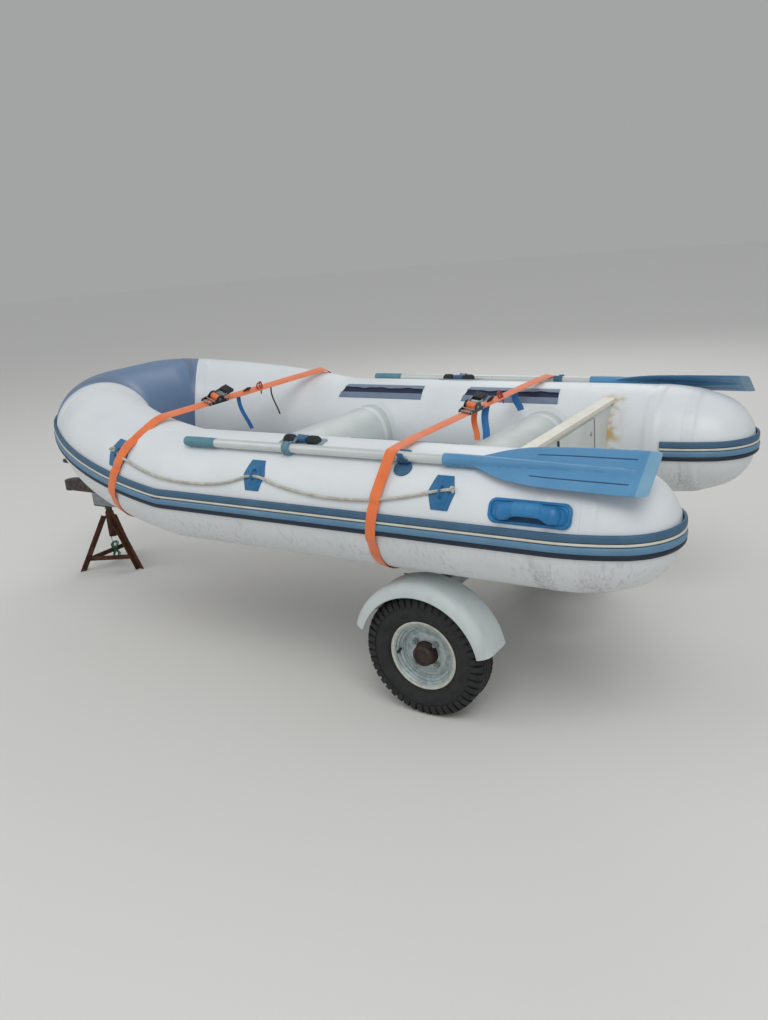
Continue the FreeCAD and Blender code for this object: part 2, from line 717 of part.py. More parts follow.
def carry_handle():
    """A round grip bent down at both ends, standing on its base."""
    reach, bend = number("handle_length / 2 - 44"), number("grip_radius") + 6
    foot = number("clearance") + 2
    rise = number("grip_lift") - foot - bend
    start = Vector(-reach, 0, foot)
    walker = Walker(round_section(number("grip_radius"), start, UP), start, UP)
    walker.ahead(rise)
    towards = walker.turn(bend, 90, FORWARD)
    walker.ahead(2 * (reach - bend))
    walker.turn(bend, 90, towards)
    walker.ahead(rise)
    return walker.solid()


# Carry handles: an oval base with a bent grip. The base's ends are arcs of half its height.
base = skin_pad("HandleBase", (
    ("handle_height / 2 - handle_length / 2", "-handle_height / 2"),
    ("handle_length / 2 - handle_height / 2", "-handle_height / 2", "handle_height / 2 + 0.1", 1),
    ("handle_length / 2 - handle_height / 2", "handle_height / 2"),
    ("handle_height / 2 - handle_length / 2", "handle_height / 2", "handle_height / 2 + 0.1", 1)),
    "4", "handle_x", "handle_angle")
grip = DOC.addObject("Part::Feature", "HandleGrip")
grip.Shape = carry_handle()
on_skin(grip, "handle_x", "handle_angle")
keep(both_sides("CarryHandles", fuse("PortHandle", [base, grip])), "carry_handles")

# Oars: each lies on its tube, and its own X runs along the shaft
OAR_LIFT = number("socket_radius + clearance")


def along_oar(name, radius, front, rear):
    """A round piece of the oar between two places."""
    bar = DOC.addObject("Part::Cylinder", name)
    bind(bar, "Radius", radius)
    bind(bar, "Height", "(%s) - (%s)" % (front, rear))
    return on_skin(bar, rear, "oar_angle", OAR_LIFT, ALONG["x"])


keep(both_sides("OarShafts", along_oar("PortShaft", "shaft_radius", "shaft_front", "shaft_rear")),
     "oar_shafts")
oar_grip = along_oar("PortOarGrip", "oar_grip_radius", "shaft_front + clearance + oar_grip_length",
                     "shaft_front + clearance")
keep(both_sides("OarGrips", oar_grip), "oar_grips")

half_blade, blade_length = "blade_width / 2", "(blade_front - blade_rear)"
paddle = padded("Paddle", "XY_Plane", (
    ("-110", "-12"), ("-235", "4 - %s" % half_blade), ("22 - %s" % blade_length, "-" + half_blade),
    ("-" + blade_length, "22 - %s" % half_blade), ("-" + blade_length, "%s - 22" % half_blade),
    ("22 - %s" % blade_length, half_blade), ("-235", "%s - 4" % half_blade), ("-110", "12")),
    "blade_thickness")
on_skin(paddle, "blade_front", "oar_angle", OAR_LIFT)
socket = along_oar("BladeSocket", "socket_radius", "blade_front", "blade_front - 150")
rib = DOC.addObject("Part::Cone", "BladeRib")
bind(rib, "Radius1", "socket_radius / 3")
bind(rib, "Radius2", "socket_radius")
bind(rib, "Height", "blade_front - 150 - blade_rear - 60")
on_skin(rib, "blade_rear + 60", "oar_angle", OAR_LIFT, ALONG["x"])
shaft_room = along_oar("ShaftRoom", "shaft_radius + clearance", "blade_front + 1",
                       "shaft_rear - clearance")
blade = cut("PortBlade", fuse("BladeBlank", [paddle, socket, rib]), shaft_room)
keep(both_sides("OarBlades", blade), "oar_blades")

# Rowlocks: a pad on the tube, a raised body and a collar round the shaft, joined by a pin
pad = skin_pad("RowlockPad", (
    ("-rowlock_length / 2", "-rowlock_width / 2"), ("rowlock_length / 2", "-rowlock_width / 2"),
    ("rowlock_length / 2", "rowlock_width / 2"), ("-rowlock_length / 2", "rowlock_width / 2")),
    "4", "rowlock_x", "rowlock_angle")
hump = skin_pad("RowlockBody", (
    ("-rowlock_length / 2 + 14", "-18"), ("rowlock_length / 2 - 14", "-18"),
    ("rowlock_length / 2 - 14", "18"), ("-rowlock_length / 2 + 14", "18")),
    "rowlock_lift", "rowlock_x", "rowlock_angle")
collar = along_oar("Collar", "collar_radius", "collar_x + collar_length / 2",
                   "collar_x - collar_length / 2")
pin_from = skin_frame("collar_x", "rowlock_angle", number("rowlock_lift / 2")).Base
pin_to = skin_frame("collar_x", "oar_angle", OAR_LIFT).Base
pin = DOC.addObject("Part::Feature", "RowlockPin")
pin.Shape = Part.makeCylinder(6, (pin_to - pin_from).Length, pin_from, pin_to - pin_from)
ring_room = along_oar("RingRoom", "shaft_radius + clearance", "collar_x + collar_length",
                      "collar_x - collar_length")
rowlock = cut("PortRowlock", cut("RowlockBlank", fuse("RowlockParts", [pad, hump, collar, pin]),
                                 ring_room), tubes_keepout)
keep(both_sides("Rowlocks", rowlock), "rowlocks")

# Rear oar clips: a hook round the shaft on its own base patch
base = skin_pad("ClipBase", (
    ("-26", "-20"), ("26", "-20"), ("30", "14"), ("14", "34"), ("-14", "34"), ("-30", "14")),
    "5", "clip_x", "oar_angle + 6")
hook = along_oar("ClipHook", "shaft_radius + 6", "clip_x + clip_width / 2",
                 "clip_x - clip_width / 2")
mouth = padded("ClipMouth", "XY_Plane", (
    ("-clip_width", "-60"), ("clip_width", "-60"), ("clip_width", "-4"), ("-clip_width", "-4")),
    "40")
on_skin(mouth, "clip_x", "oar_angle", OAR_LIFT + 20)
room = along_oar("ClipRoom", "shaft_radius + clearance", "clip_x + clip_width",
                 "clip_x - clip_width")
clip = cut("ClipTrimmed", cut("ClipOpened", cut("ClipBored", fuse("ClipParts", [base, hook]), room),
                              mouth), tubes_keepout)
keep(both_sides("OarClips", clip), "oar_clips")


def on_circle(centre, radius, angle):
    """A point of a circle across the boat, turned outboard of its top. Y across, Z up."""
    turn = math.radians(angle)
    return Vector(0, centre.y + radius * math.sin(turn), centre.z + radius * math.cos(turn))


def arc_on(centre, radius, first, last):
    return Part.Arc(on_circle(centre, radius, first), on_circle(centre, radius, (first + last) / 2),
                    on_circle(centre, radius, last)).toShape()


def outer_tangents(big, big_radius, small, small_radius):
    """The two turns at which a belt leaves the big circle for the small one and comes back."""
    apart = small - big
    lean = math.degrees(math.atan2(apart.y, apart.z))
    spread = math.degrees(math.acos((big_radius - small_radius) / apart.Length))
    return lean - spread, lean + spread


def belt_edges(tube, radius, gain, oar, hook):
    """The port half of a lashing strap, from the middle over the tube down to its hook."""
    radius += gain
    edges = [Part.makeLine(Vector(0, 0, tube.z + radius), on_circle(tube, radius, 0))]
    turn = 0.0
    if oar is not None:
        shaft = OAR_ROOM + gain
        turn, back = outer_tangents(tube, radius, oar, shaft)
        edges += [
            arc_on(tube, radius, 0, turn),
            Part.makeLine(on_circle(tube, radius, turn), on_circle(oar, shaft, turn)),
            arc_on(oar, shaft, turn, back),
            Part.makeLine(on_circle(oar, shaft, back), on_circle(tube, radius, back)),
        ]
        turn = back
    apart = hook - tube
    lean = math.degrees(math.atan2(apart.y, apart.z)) % 360
    leave = lean - math.degrees(math.acos(radius / apart.Length))
    edges.append(arc_on(tube, radius, turn, leave))
    edges.append(Part.makeLine(on_circle(tube, radius, leave), hook))
    return edges


def leaned(thing, x, lean):
    """Swing a strap or its fittings about the tube's axis, top aft and foot forward."""
    centre = tube_frame(number(x)).Base + FORWARD * number("axle_x")
    thing.Placement = Placement(Vector(), Rotation(PORT, -number(lean)), centre)
    return thing


def strap(x, lean, offset, oar):
    """Webbing from the spine, round one tube, across to the other and back to the spine."""
    frame = tube_frame(number(x)).Base
    tube = Vector(0, frame.y, frame.z)
    stretch = 1 / math.cos(math.radians(number(lean)))
    thickness = number("strap_thickness")
    drop = (tube.z - number("spine_height") - 20) * stretch
    hook = Vector(0, number("spine_width / 2 + clearance"), tube.z - drop)
    if oar is not None:
        oar = Vector(0, oar.y, tube.z + (oar.z - tube.z) * stretch)
    radius = number("tube_radius + " + offset)
    inner = belt_edges(tube, radius, 0, oar, hook)
    outer = belt_edges(tube, radius, thickness, oar, hook - UP * thickness)
    ends = [Part.makeLine(inner[0].Vertexes[0].Point, outer[0].Vertexes[0].Point),
            Part.makeLine(inner[-1].Vertexes[-1].Point, outer[-1].Vertexes[-1].Point)]
    outline = Part.Wire(Part.__sortEdges__(inner + outer + ends))
    half = Part.Face(outline).extrude(FORWARD * number("strap_width"))
    half.translate(FORWARD * number("%s - strap_width / 2 + axle_x" % x))
    return half.fuse(half.mirror(Vector(), PORT)).removeSplitter()


# Room for the oar in the leaned strap, over the strap's whole width
OAR_ROOM = number("(shaft_radius + clearance) / cos(rear_strap_lean * 1deg)"
                  " + strap_width / 2 * tan(rear_strap_lean * 1deg)")
# Columns: name, place, lean, distance from the tube, the oar that the strap holds.
STRAPS = (("front_strap", "front_strap_x", "front_strap_lean", "front_strap_offset", None),
          ("rear_strap", "rear_strap_x", "rear_strap_lean", "rear_strap_offset",
           skin_frame("rear_strap_x", "oar_angle", OAR_LIFT).Base))
ratchets, handles = [], []
for label, x, lean, offset, oar in STRAPS:
    webbing = DOC.addObject("Part::Feature", label + "_webbing")
    webbing.Shape = strap(x, lean, offset, oar)
    keep(leaned(webbing, x, lean), label)

    # Ratchet and joined hooks on the strap's top
    ratchet_side, hook_side = label[:-5] + "ratchet_side", label[:-5] + "hook_side"
    base = tube_frame(number(x)).Base.z + number("tube_radius + strap_thickness + " + offset)
    level = "%.6f + clearance" % base
    cheeks = [block("%s_cheek%d" % (label, side + 1), ("3", "ratchet_length", "ratchet_height"), (
        "%s + %d * (ratchet_width / 2 - 1.5)" % (x, side), ratchet_side,
        level + " + ratchet_height / 2")) for side in (-1, 1)]
    bars = [rod("%s_bar%d" % (label, step), radius, "ratchet_width", (
        "%s - ratchet_width / 2" % x, ratchet_side + " + %d" % along, level + " + %s" % up), "x")
        for step, (radius, along, up) in enumerate((
            ("4", -46, "4"), ("9", 0, "ratchet_height / 2"), ("4", 46, "4")))]
    rings = []
    for side in (-1, 1):
        ring = DOC.addObject("Part::Torus", "%s_hook%d" % (label, side + 1))
        ring.Radius1 = 13
        ring.Radius2 = 3
        rings.append(place(ring, (x, hook_side + " + %d" % (side * 17), level + " + 3")))
    ratchet = fuse(label + "_ratchet", cheeks + bars)
    ratchets.append(leaned(together(label + "_fittings", [ratchet] + rings), x, lean))
    handle = block(label + "_lever", ("ratchet_width - 8", "74", "7"), ("0", "0", "0"))
    place(handle, ("%s - ratchet_width / 2 + 4" % x, ratchet_side + " - 78",
                   level + " + ratchet_height / 2 + 2"), Rotation(FORWARD, -14))
    handles.append(leaned(together(label + "_handle", [handle]), x, lean))
keep(together("Ratchets", ratchets), "strap_ratchets")
keep(together("RatchetHandles", handles), "ratchet_handles")


def hollow_bar(name, width, length, wall, middle, axis):
    """A square hollow section along an axis."""
    inner = "(%s - 2 * %s)" % (width, wall)
    outside = {"x": (length, width, width), "y": (width, length, width),
               "z": (width, width, length)}[axis]
    inside = {"x": (length + " + 2", inner, inner), "y": (inner, length + " + 2", inner),
              "z": (inner, inner, length + " + 2")}[axis]
    return cut(name, block(name + "_outside", outside, middle),
               block(name + "_inside", inside, middle))


# Trailer frame
keep(hollow_bar("Spine", "spine_width", "(spine_front - spine_rear)", "spine_wall", (
    "(spine_front + spine_rear) / 2", "0", "spine_height + spine_width / 2"), "x"), "spine")
keep(hollow_bar("AxleBeam", "beam_width", "2 * beam_half", "spine_wall", (
    "beam_x", "0", "spine_height - beam_width / 2"), "y"), "axle_beam")
crosses = [hollow_bar(name, "cross_width", "2 * cross_half", "spine_wall", (
    x, "0", "spine_height + spine_width + cross_width / 2"), "y")
    for name, x in (("FrontCross", "front_cross_x"), ("RearCross", "rear_cross_x"))]
keep(together("CrossMembers", crosses), "cross_members")

# Bunk boards: the top follows the hull's slope from the keel to the chine
SLOPE = "((chine_height - keel_height) / chine_side)"
BUNK_FLOOR = "(spine_height + spine_width + cross_width + clearance)"
edges = ["(bunk_side %s bunk_width / 2)" % sign for sign in ("-", "+")]
bunk = padded("PortBunk", "YZ_Plane", (
    (edges[0], BUNK_FLOOR), (edges[1], BUNK_FLOOR),
    (edges[1], "keel_height - 1 + %s * %s" % (SLOPE, edges[1])),
    (edges[0], "keel_height - 1 + %s * %s" % (SLOPE, edges[0]))),
    "bunk_length", ("bunk_x", "0", "0"))
keep(both_sides("BunkBoards", bunk), "bunk_boards")

# Keel rollers between cheek plates on the spine
ROLLER_HEIGHT = "(keel_height - clearance - roller_radius)"
rollers, cheeks = [], []
for name, x in (("FrontRoller", "front_roller_x"), ("MiddleRoller", "middle_roller_x"),
                ("RearRoller", "rear_roller_x")):
    rollers.append(rod(name, "roller_radius", "spine_width - 2 * clearance",
                       (x, "clearance - spine_width / 2", ROLLER_HEIGHT), "y"))
    plates = [block(name + "_cheek%d" % (side + 1), (
        "cheek_width", "cheek_thickness", "cheek_drop + %s - spine_height - spine_width + 12"
        % ROLLER_HEIGHT),
        (x, "%d * (spine_width / 2 + clearance + cheek_thickness / 2)" % side,
         "(spine_height + spine_width - cheek_drop + %s + 12) / 2" % ROLLER_HEIGHT))
        for side in (-1, 1)]
    cheeks += plates
keep(together("KeelRollers", rollers), "keel_rollers")
keep(together("RollerCheeks", cheeks), "roller_cheeks")

# Winch post, bow snubber and hand winch
POST_FLOOR = "(spine_height + spine_width)"
keep(hollow_bar("WinchPost", "post_width", "(post_top - %s)" % POST_FLOOR, "spine_wall", (
    "post_x", "0", "(post_top + %s) / 2" % POST_FLOOR), "z"), "winch_post")
snubber = block("SnubberBlank", ("130", "snubber_width", "snubber_depth"), (
    "post_x - post_width / 2 - clearance - 65", "0", "snubber_height"))
keep(cut("Snubber", snubber, tubes_keepout), "bow_snubber")
FACE = "(post_x + post_width / 2 + clearance)"
winch = [block("WinchBase", ("4", "86", "90"), (FACE + " + 2", "0", "610"))]
winch += [block("WinchSide%d" % (side + 1), ("80", "4", "80"), (
    FACE + " + 42", "%d * 41" % side, "610")) for side in (-1, 1)]
winch += [rod("WinchDrum", "24", "82", (FACE + " + 48", "-41", "610"), "y"),
          rod("WinchSpindle", "8", "40", (FACE + " + 60", "-80", "632"), "y"),
          block("WinchCrank", ("22", "6", "150"), (FACE + " + 60", "-78", "567")),
          rod("WinchGrip", "13", "80", (FACE + " + 60", "-159", "500"), "y")]
keep(fuse("HandWinch", winch), "hand_winch")

# Coupling head: a pressed body with a cup over the tow ball, and its locking lever
SEAT = "(spine_height + spine_width)"
head = padded("CouplingBody", "XZ_Plane", (
    ("coupling_rear", SEAT), ("ball_x", SEAT), ("ball_x", SEAT + " + coupling_height * 0.8"),
    ("ball_x - 60", SEAT + " + coupling_height"), ("coupling_rear + 50", SEAT + " + coupling_height"),
    ("coupling_rear", SEAT + " + coupling_height * 0.6")), "spine_width", ("0", "0", "0"))
cup = rod("CouplingCup", "coupling_radius", "coupling_height * 0.8", ("ball_x", "0", SEAT))
socket = rod("BallSocket", "ball_radius", "socket_depth + 1", ("ball_x", "0", SEAT + " - 1"))
keep(cut("Coupling", fuse("CouplingBlank", [head, cup]), socket), "coupling_head")
lever = padded("Lever", "XZ_Plane", (
    ("ball_x - 120", SEAT + " + coupling_height + clearance"),
    ("ball_x - 70", SEAT + " + coupling_height + clearance"), ("ball_x - 62", "lever_top - 24"),
    ("ball_x + 30", "lever_top - 16"), ("ball_x + 30", "lever_top"),
    ("ball_x - 92", "lever_top - 6")), "24", ("0", "0", "0"))
keep(lever, "coupling_lever")

# Swing arms: a round ended plate from the beam's end down to the stub axle
ARM_SIDE = "(beam_half + clearance)"
AXLE_TO_BEAM = ("beam_x", "spine_height - beam_width / 2 - wheel_radius")
arm_length = math.hypot(*(number(text) for text in AXLE_TO_BEAM))
arm_slope = math.degrees(math.atan2(number(AXLE_TO_BEAM[1]), number(AXLE_TO_BEAM[0])))
eyes = [rod("ArmEye%d" % index, "arm_width / 2", "arm_thickness", (x, ARM_SIDE, z), "y")
        for index, (x, z) in enumerate((("0", "wheel_radius"),
                                        ("beam_x", "spine_height - beam_width / 2")))]
web = padded("ArmWeb", "XZ_Plane", (
    ("0", "-arm_width / 2"), ("%.6f" % arm_length, "-arm_width / 2"),
    ("%.6f" % arm_length, "arm_width / 2"), ("0", "arm_width / 2")), "arm_thickness",
    ("0", ARM_SIDE + " + arm_thickness / 2", "wheel_radius"), Rotation(PORT, -arm_slope))
stub = rod("StubAxle", "stub_radius", "wheel_side + 18 - beam_half - clearance",
           ("0", ARM_SIDE, "wheel_radius"), "y")
keep(both_sides("SwingArms", fuse("PortArm", eyes + [web, stub])), "swing_arms")

# Mudguards: a channel turned round the wheel's axis
crown, mouth = "guard_radius", "(guard_radius - guard_lip)"
shoulder, under = "(guard_radius - guard_corner)", "(guard_radius - guard_wall)"
section = (
    ("0", mouth), ("0", shoulder, "guard_corner", -1),
    ("guard_corner", crown), ("guard_width - guard_corner", crown, "guard_corner", -1),
    ("guard_width", shoulder), ("guard_width", mouth), ("guard_width - guard_wall", mouth),
    ("guard_width - guard_wall", shoulder, "guard_corner - guard_wall", 1),
    ("guard_width - guard_corner", under),
    ("guard_corner", under, "guard_corner - guard_wall", 1),
    ("guard_wall", shoulder), ("guard_wall", mouth))
guard = turned("PortGuard", section, ("0", "guard_inner_side", "wheel_radius"), "guard_sweep",
               Rotation(PORT, -number("guard_tilt")))
keep(both_sides("Mudguards", guard), "mudguards")

# Mudguard brackets: a foot on the beam and an upright beside the guard's inner lip
BRACKET_SIDE = "(guard_inner_side - clearance - bracket_thickness)"
BRACKET_FLOOR = "(spine_height + clearance)"
foot = block("BracketFoot", ("bracket_width", "bracket_length", "bracket_thickness"), (
    "beam_x", BRACKET_SIDE + " + bracket_thickness - bracket_length / 2",
    BRACKET_FLOOR + " + bracket_thickness / 2"))
upright = block("BracketUpright", ("bracket_width", "bracket_thickness", "bracket_length"), (
    "beam_x", BRACKET_SIDE + " + bracket_thickness / 2", BRACKET_FLOOR + " + bracket_length / 2"))
keep(both_sides("GuardBrackets", fuse("PortBracket", [foot, upright])), "mudguard_brackets")

# Wheels: profiles across the wheel, outboard to port
TOP, BEAD = "wheel_radius", "bead_radius"
SIDEWALL, WIDEST = "(flange_radius + 2)", "((wheel_radius + flange_radius) / 2)"
TYRE = (
    ("-bead_width / 2", BEAD), ("-bead_width / 2", SIDEWALL), ("-tyre_width / 2", WIDEST),
    ("-tread_width / 2", TOP), ("tread_width / 2", TOP), ("tyre_width / 2", WIDEST),
    ("bead_width / 2", SIDEWALL), ("bead_width / 2", BEAD))
EDGE, LIP = "(bead_width / 2 + clearance)", "(bead_width / 2 + clearance + rim_wall)"
SEAT_RADIUS = "(bead_radius - clearance)"
BARREL = (
    ("-" + LIP, "flange_radius"), ("-" + EDGE, "flange_radius"), ("-" + EDGE, SEAT_RADIUS),
    ("-26", SEAT_RADIUS), ("-20", "disc_radius + rim_wall"), ("20", "disc_radius + rim_wall"),
    ("26", SEAT_RADIUS), (EDGE, SEAT_RADIUS), (EDGE, "flange_radius"), (LIP, "flange_radius"),
    (LIP, SEAT_RADIUS + " - rim_wall"), ("27.5", SEAT_RADIUS + " - rim_wall"),
    ("21.5", "disc_radius"), ("-21.5", "disc_radius"), ("-27.5", SEAT_RADIUS + " - rim_wall"),
    ("-" + LIP, SEAT_RADIUS + " - rim_wall"))
DISC_FACE = "(disc_offset + rim_wall)"
DISC = (
    ("2", "disc_radius + 1"), ("2 + rim_wall", "disc_radius + 1"), ("9 + rim_wall", "70"),
    (DISC_FACE, "62"), (DISC_FACE, "hub_radius + clearance"),
    ("disc_offset", "hub_radius + clearance"), ("disc_offset", "63.5"), ("9", "71.5"))
HUB_SEAT = "(disc_offset - clearance)"
HUB = (
    ("-45", "stub_radius + clearance"), ("-45", "hub_radius"),
    (HUB_SEAT + " - hub_flange_thickness", "hub_radius"),
    (HUB_SEAT + " - hub_flange_thickness", "hub_flange_radius"), (HUB_SEAT, "hub_flange_radius"),
    (HUB_SEAT, "hub_radius"), ("disc_offset + 12", "hub_radius"),
    ("disc_offset + 12", "hub_cap_radius"),
    ("disc_offset + hub_cap_length - 8", "hub_cap_radius"),
    ("disc_offset + hub_cap_length", "hub_cap_radius - 6"), ("disc_offset + hub_cap_length", "0"),
    ("20", "0"), ("20", "stub_radius + clearance"))
WHEEL_AT = ("0", "wheel_side", "wheel_radius")


def on_studs(name, radius, length, side, sides=None):
    """Four pieces on the stud circle, from a place across the wheel."""
    made = []
    for step in range(4):
        angle = "(45 + %d) * 1deg" % (90 * step)
        at = ("stud_circle / 2 * cos(%s)" % angle, "wheel_side + " + side,
              "wheel_radius + stud_circle / 2 * sin(%s)" % angle)
        if sides is None:
            made.append(rod("%s%d" % (name, step), radius, length, at, "y"))
            continue
        nut = DOC.addObject("Part::Prism", "%s%d" % (name, step))
        nut.Polygon = sides
        bind(nut, "Circumradius", radius)
        bind(nut, "Height", length)
        made.append(place(nut, at, ALONG["y"]))
    return made


tyre = turned("PortTyre", TYRE, WHEEL_AT)
barrel, disc = turned("RimBarrel", BARREL, WHEEL_AT), turned("RimDisc", DISC, WHEEL_AT)
stud_holes = fuse("StudHoles", on_studs("StudHole", "stud_radius + clearance", "60", "-20"))
rim = cut("PortRim", fuse("RimBlank", [barrel, disc]), stud_holes)
hub = fuse("PortHub", [turned("HubBody", HUB, WHEEL_AT)]
           + on_studs("Stud", "stud_radius", "30", HUB_SEAT + " - 2")
           + on_studs("Nut", "nut_radius", "nut_height", DISC_FACE + " + clearance", 6))
for name, piece in (("tyre", tyre), ("rim", rim), ("hub", hub)):
    keep(piece, "port_" + name)
    keep(mirrored("Starboard" + name.title(), piece), "starboard_" + name)


def angle_iron(foot, head):
    """A straight length of angle between two points, cut level with the ground."""
    width, wall = number("leg_width"), number("leg_wall")
    along = head - foot
    across = UP.cross(along).normalize()
    out = along.cross(across).normalize()
    lower = foot - along * 0.15
    corners = [lower + across * a + out * b for a, b in (
        (0, 0), (width, 0), (width, wall), (wall, wall), (wall, width), (0, width))]
    bar = Part.Face(Part.makePolygon(corners + corners[:1])).extrude(along * 1.15)
    reach = number("4 * stand_reach")
    below = Part.makeBox(2 * reach, 2 * reach, reach, Vector(foot.x - reach, foot.y - reach, -reach))
    return bar.cut(below)


# Prop stand: three angle iron legs with base bars round a column, and a saddle under the spine
stand_axis = Vector(number("stand_x"), number("stand_side"), 0)
feet, tops = [], []
for step in range(3):
    turn = math.radians(number("stand_turn") + 120 * step)
    out = Vector(math.cos(turn), math.sin(turn), 0)
    feet.append(stand_axis + out * number("stand_reach"))
    tops.append(stand_axis + out * number("column_radius - 3") + UP * number("leg_top"))
legs = [angle_iron(foot, head) for foot, head in zip(feet, tops)]
bars = []
for index, foot in enumerate(feet):
    following = (index + 1) % 3
    share = number("brace_height / leg_top")
    start = foot + (tops[index] - foot) * share
    end = feet[following] + (tops[following] - feet[following]) * share
    along = end - start
    side = UP.cross(along).normalize()
    bar = Part.makeBox(along.Length, 4, number("brace_width"))
    bar.Placement = Placement(start, Rotation(along, side, UP, "XZY"))
    bars.append(bar)
column = Part.makeCylinder(number("column_radius"), number("leg_top + 25 - column_foot"),
                           stand_axis + UP * number("column_foot"))
trestle = shaped("StandLegs", column.multiFuse(legs + bars))
riser = rod("StandRiser", "column_radius - 5", "riser_length", (
    "stand_x", "stand_side", "leg_top + 25"))
plate = block("SaddlePlate", ("70", "110", "saddle_thickness"), (
    "stand_x", "stand_side", "saddle_floor + saddle_thickness / 2"))
keep(together("PropStand", [trestle, fuse("StandSaddle", [riser, plate])]), "prop_stand")

DOC.recompute()
for thing in DOC.Objects:
    if "Invalid" in thing.State or "Error" in thing.State:
        raise RuntimeError("failed: %s %s" % (thing.Name, thing.State))
os.makedirs("parts", exist_ok=True)
for thing in NODES:
    if thing.Shape.isNull() or not thing.Shape.isValid() or not thing.Shape.Solids:
        raise RuntimeError("bad shape: " + thing.Label)
    thing.Shape.exportStep("parts/%s.step" % thing.Label)
whole = Part.makeCompound([thing.Shape for thing in NODES]).BoundBox
print("nodes %d, box x %.1f %.1f y %.1f %.1f z %.1f %.1f" % (
    len(NODES), whole.XMin, whole.XMax, whole.YMin, whole.YMax, whole.ZMin, whole.ZMax))
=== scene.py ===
"""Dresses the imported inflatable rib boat, its road trailer and its prop stand.

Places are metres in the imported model's own frame. A place along the boat is given forward of the
wheels' axle, as the part's own sizes are, and AXLE_X brings it into the frame.
"""

import json
import logging
import math
from dataclasses import dataclass
from enum import Enum
from functools import lru_cache
from itertools import product
from typing import Callable, Sequence

import bmesh
import bpy
from mathutils import Matrix, Vector, noise

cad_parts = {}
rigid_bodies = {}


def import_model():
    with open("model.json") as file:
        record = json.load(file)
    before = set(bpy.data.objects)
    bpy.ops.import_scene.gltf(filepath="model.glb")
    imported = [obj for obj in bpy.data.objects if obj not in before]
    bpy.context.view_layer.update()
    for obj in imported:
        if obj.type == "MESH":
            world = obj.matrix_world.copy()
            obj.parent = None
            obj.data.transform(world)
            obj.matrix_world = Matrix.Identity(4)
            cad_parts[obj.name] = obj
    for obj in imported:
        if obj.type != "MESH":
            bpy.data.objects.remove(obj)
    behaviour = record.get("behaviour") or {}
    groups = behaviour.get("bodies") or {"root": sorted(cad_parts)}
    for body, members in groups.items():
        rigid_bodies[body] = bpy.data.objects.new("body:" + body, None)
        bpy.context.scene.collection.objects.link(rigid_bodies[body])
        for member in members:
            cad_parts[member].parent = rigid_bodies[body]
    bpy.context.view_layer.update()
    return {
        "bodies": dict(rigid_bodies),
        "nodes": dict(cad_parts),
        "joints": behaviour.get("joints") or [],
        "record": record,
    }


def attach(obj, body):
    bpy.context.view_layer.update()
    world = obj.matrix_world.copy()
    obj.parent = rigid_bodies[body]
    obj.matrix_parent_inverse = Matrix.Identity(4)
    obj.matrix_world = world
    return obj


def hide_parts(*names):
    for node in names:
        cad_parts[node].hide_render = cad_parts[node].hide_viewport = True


LOG = logging.getLogger("boat")
AXLE_X = -0.7873
PORT = Vector((0, 1, 0))
FORWARD = Vector((1, 0, 0))
UP = Vector((0, 0, 1))
FULL_TURN = 2 * math.pi
Mesh = bmesh.types.BMesh
Socket = bpy.types.NodeSocket
Outline = Sequence[tuple[float, float]]
Rows = tuple[tuple[float, ...], ...]
Place = tuple[float, float, float]


class Surface(Enum):
    """How the fine relief of a finish runs."""

    GRAIN = "grain"
    WOVEN = "woven"
    BRUSHED = "brushed"


def linear(colour: str) -> tuple[float, float, float, float]:
    """Turn an sRGB hex colour into linear light.

    Args:
        colour: The colour as #rrggbb.

    Returns:
        Red, green and blue in linear light, and an alpha of 1.
    """
    parts = [int(colour[i:i + 2], 16) / 255 for i in (1, 3, 5)]
    light = [c / 12.92 if c <= 0.04045 else ((c + 0.055) / 1.055) ** 2.4 for c in parts]
    return light[0], light[1], light[2], 1.0


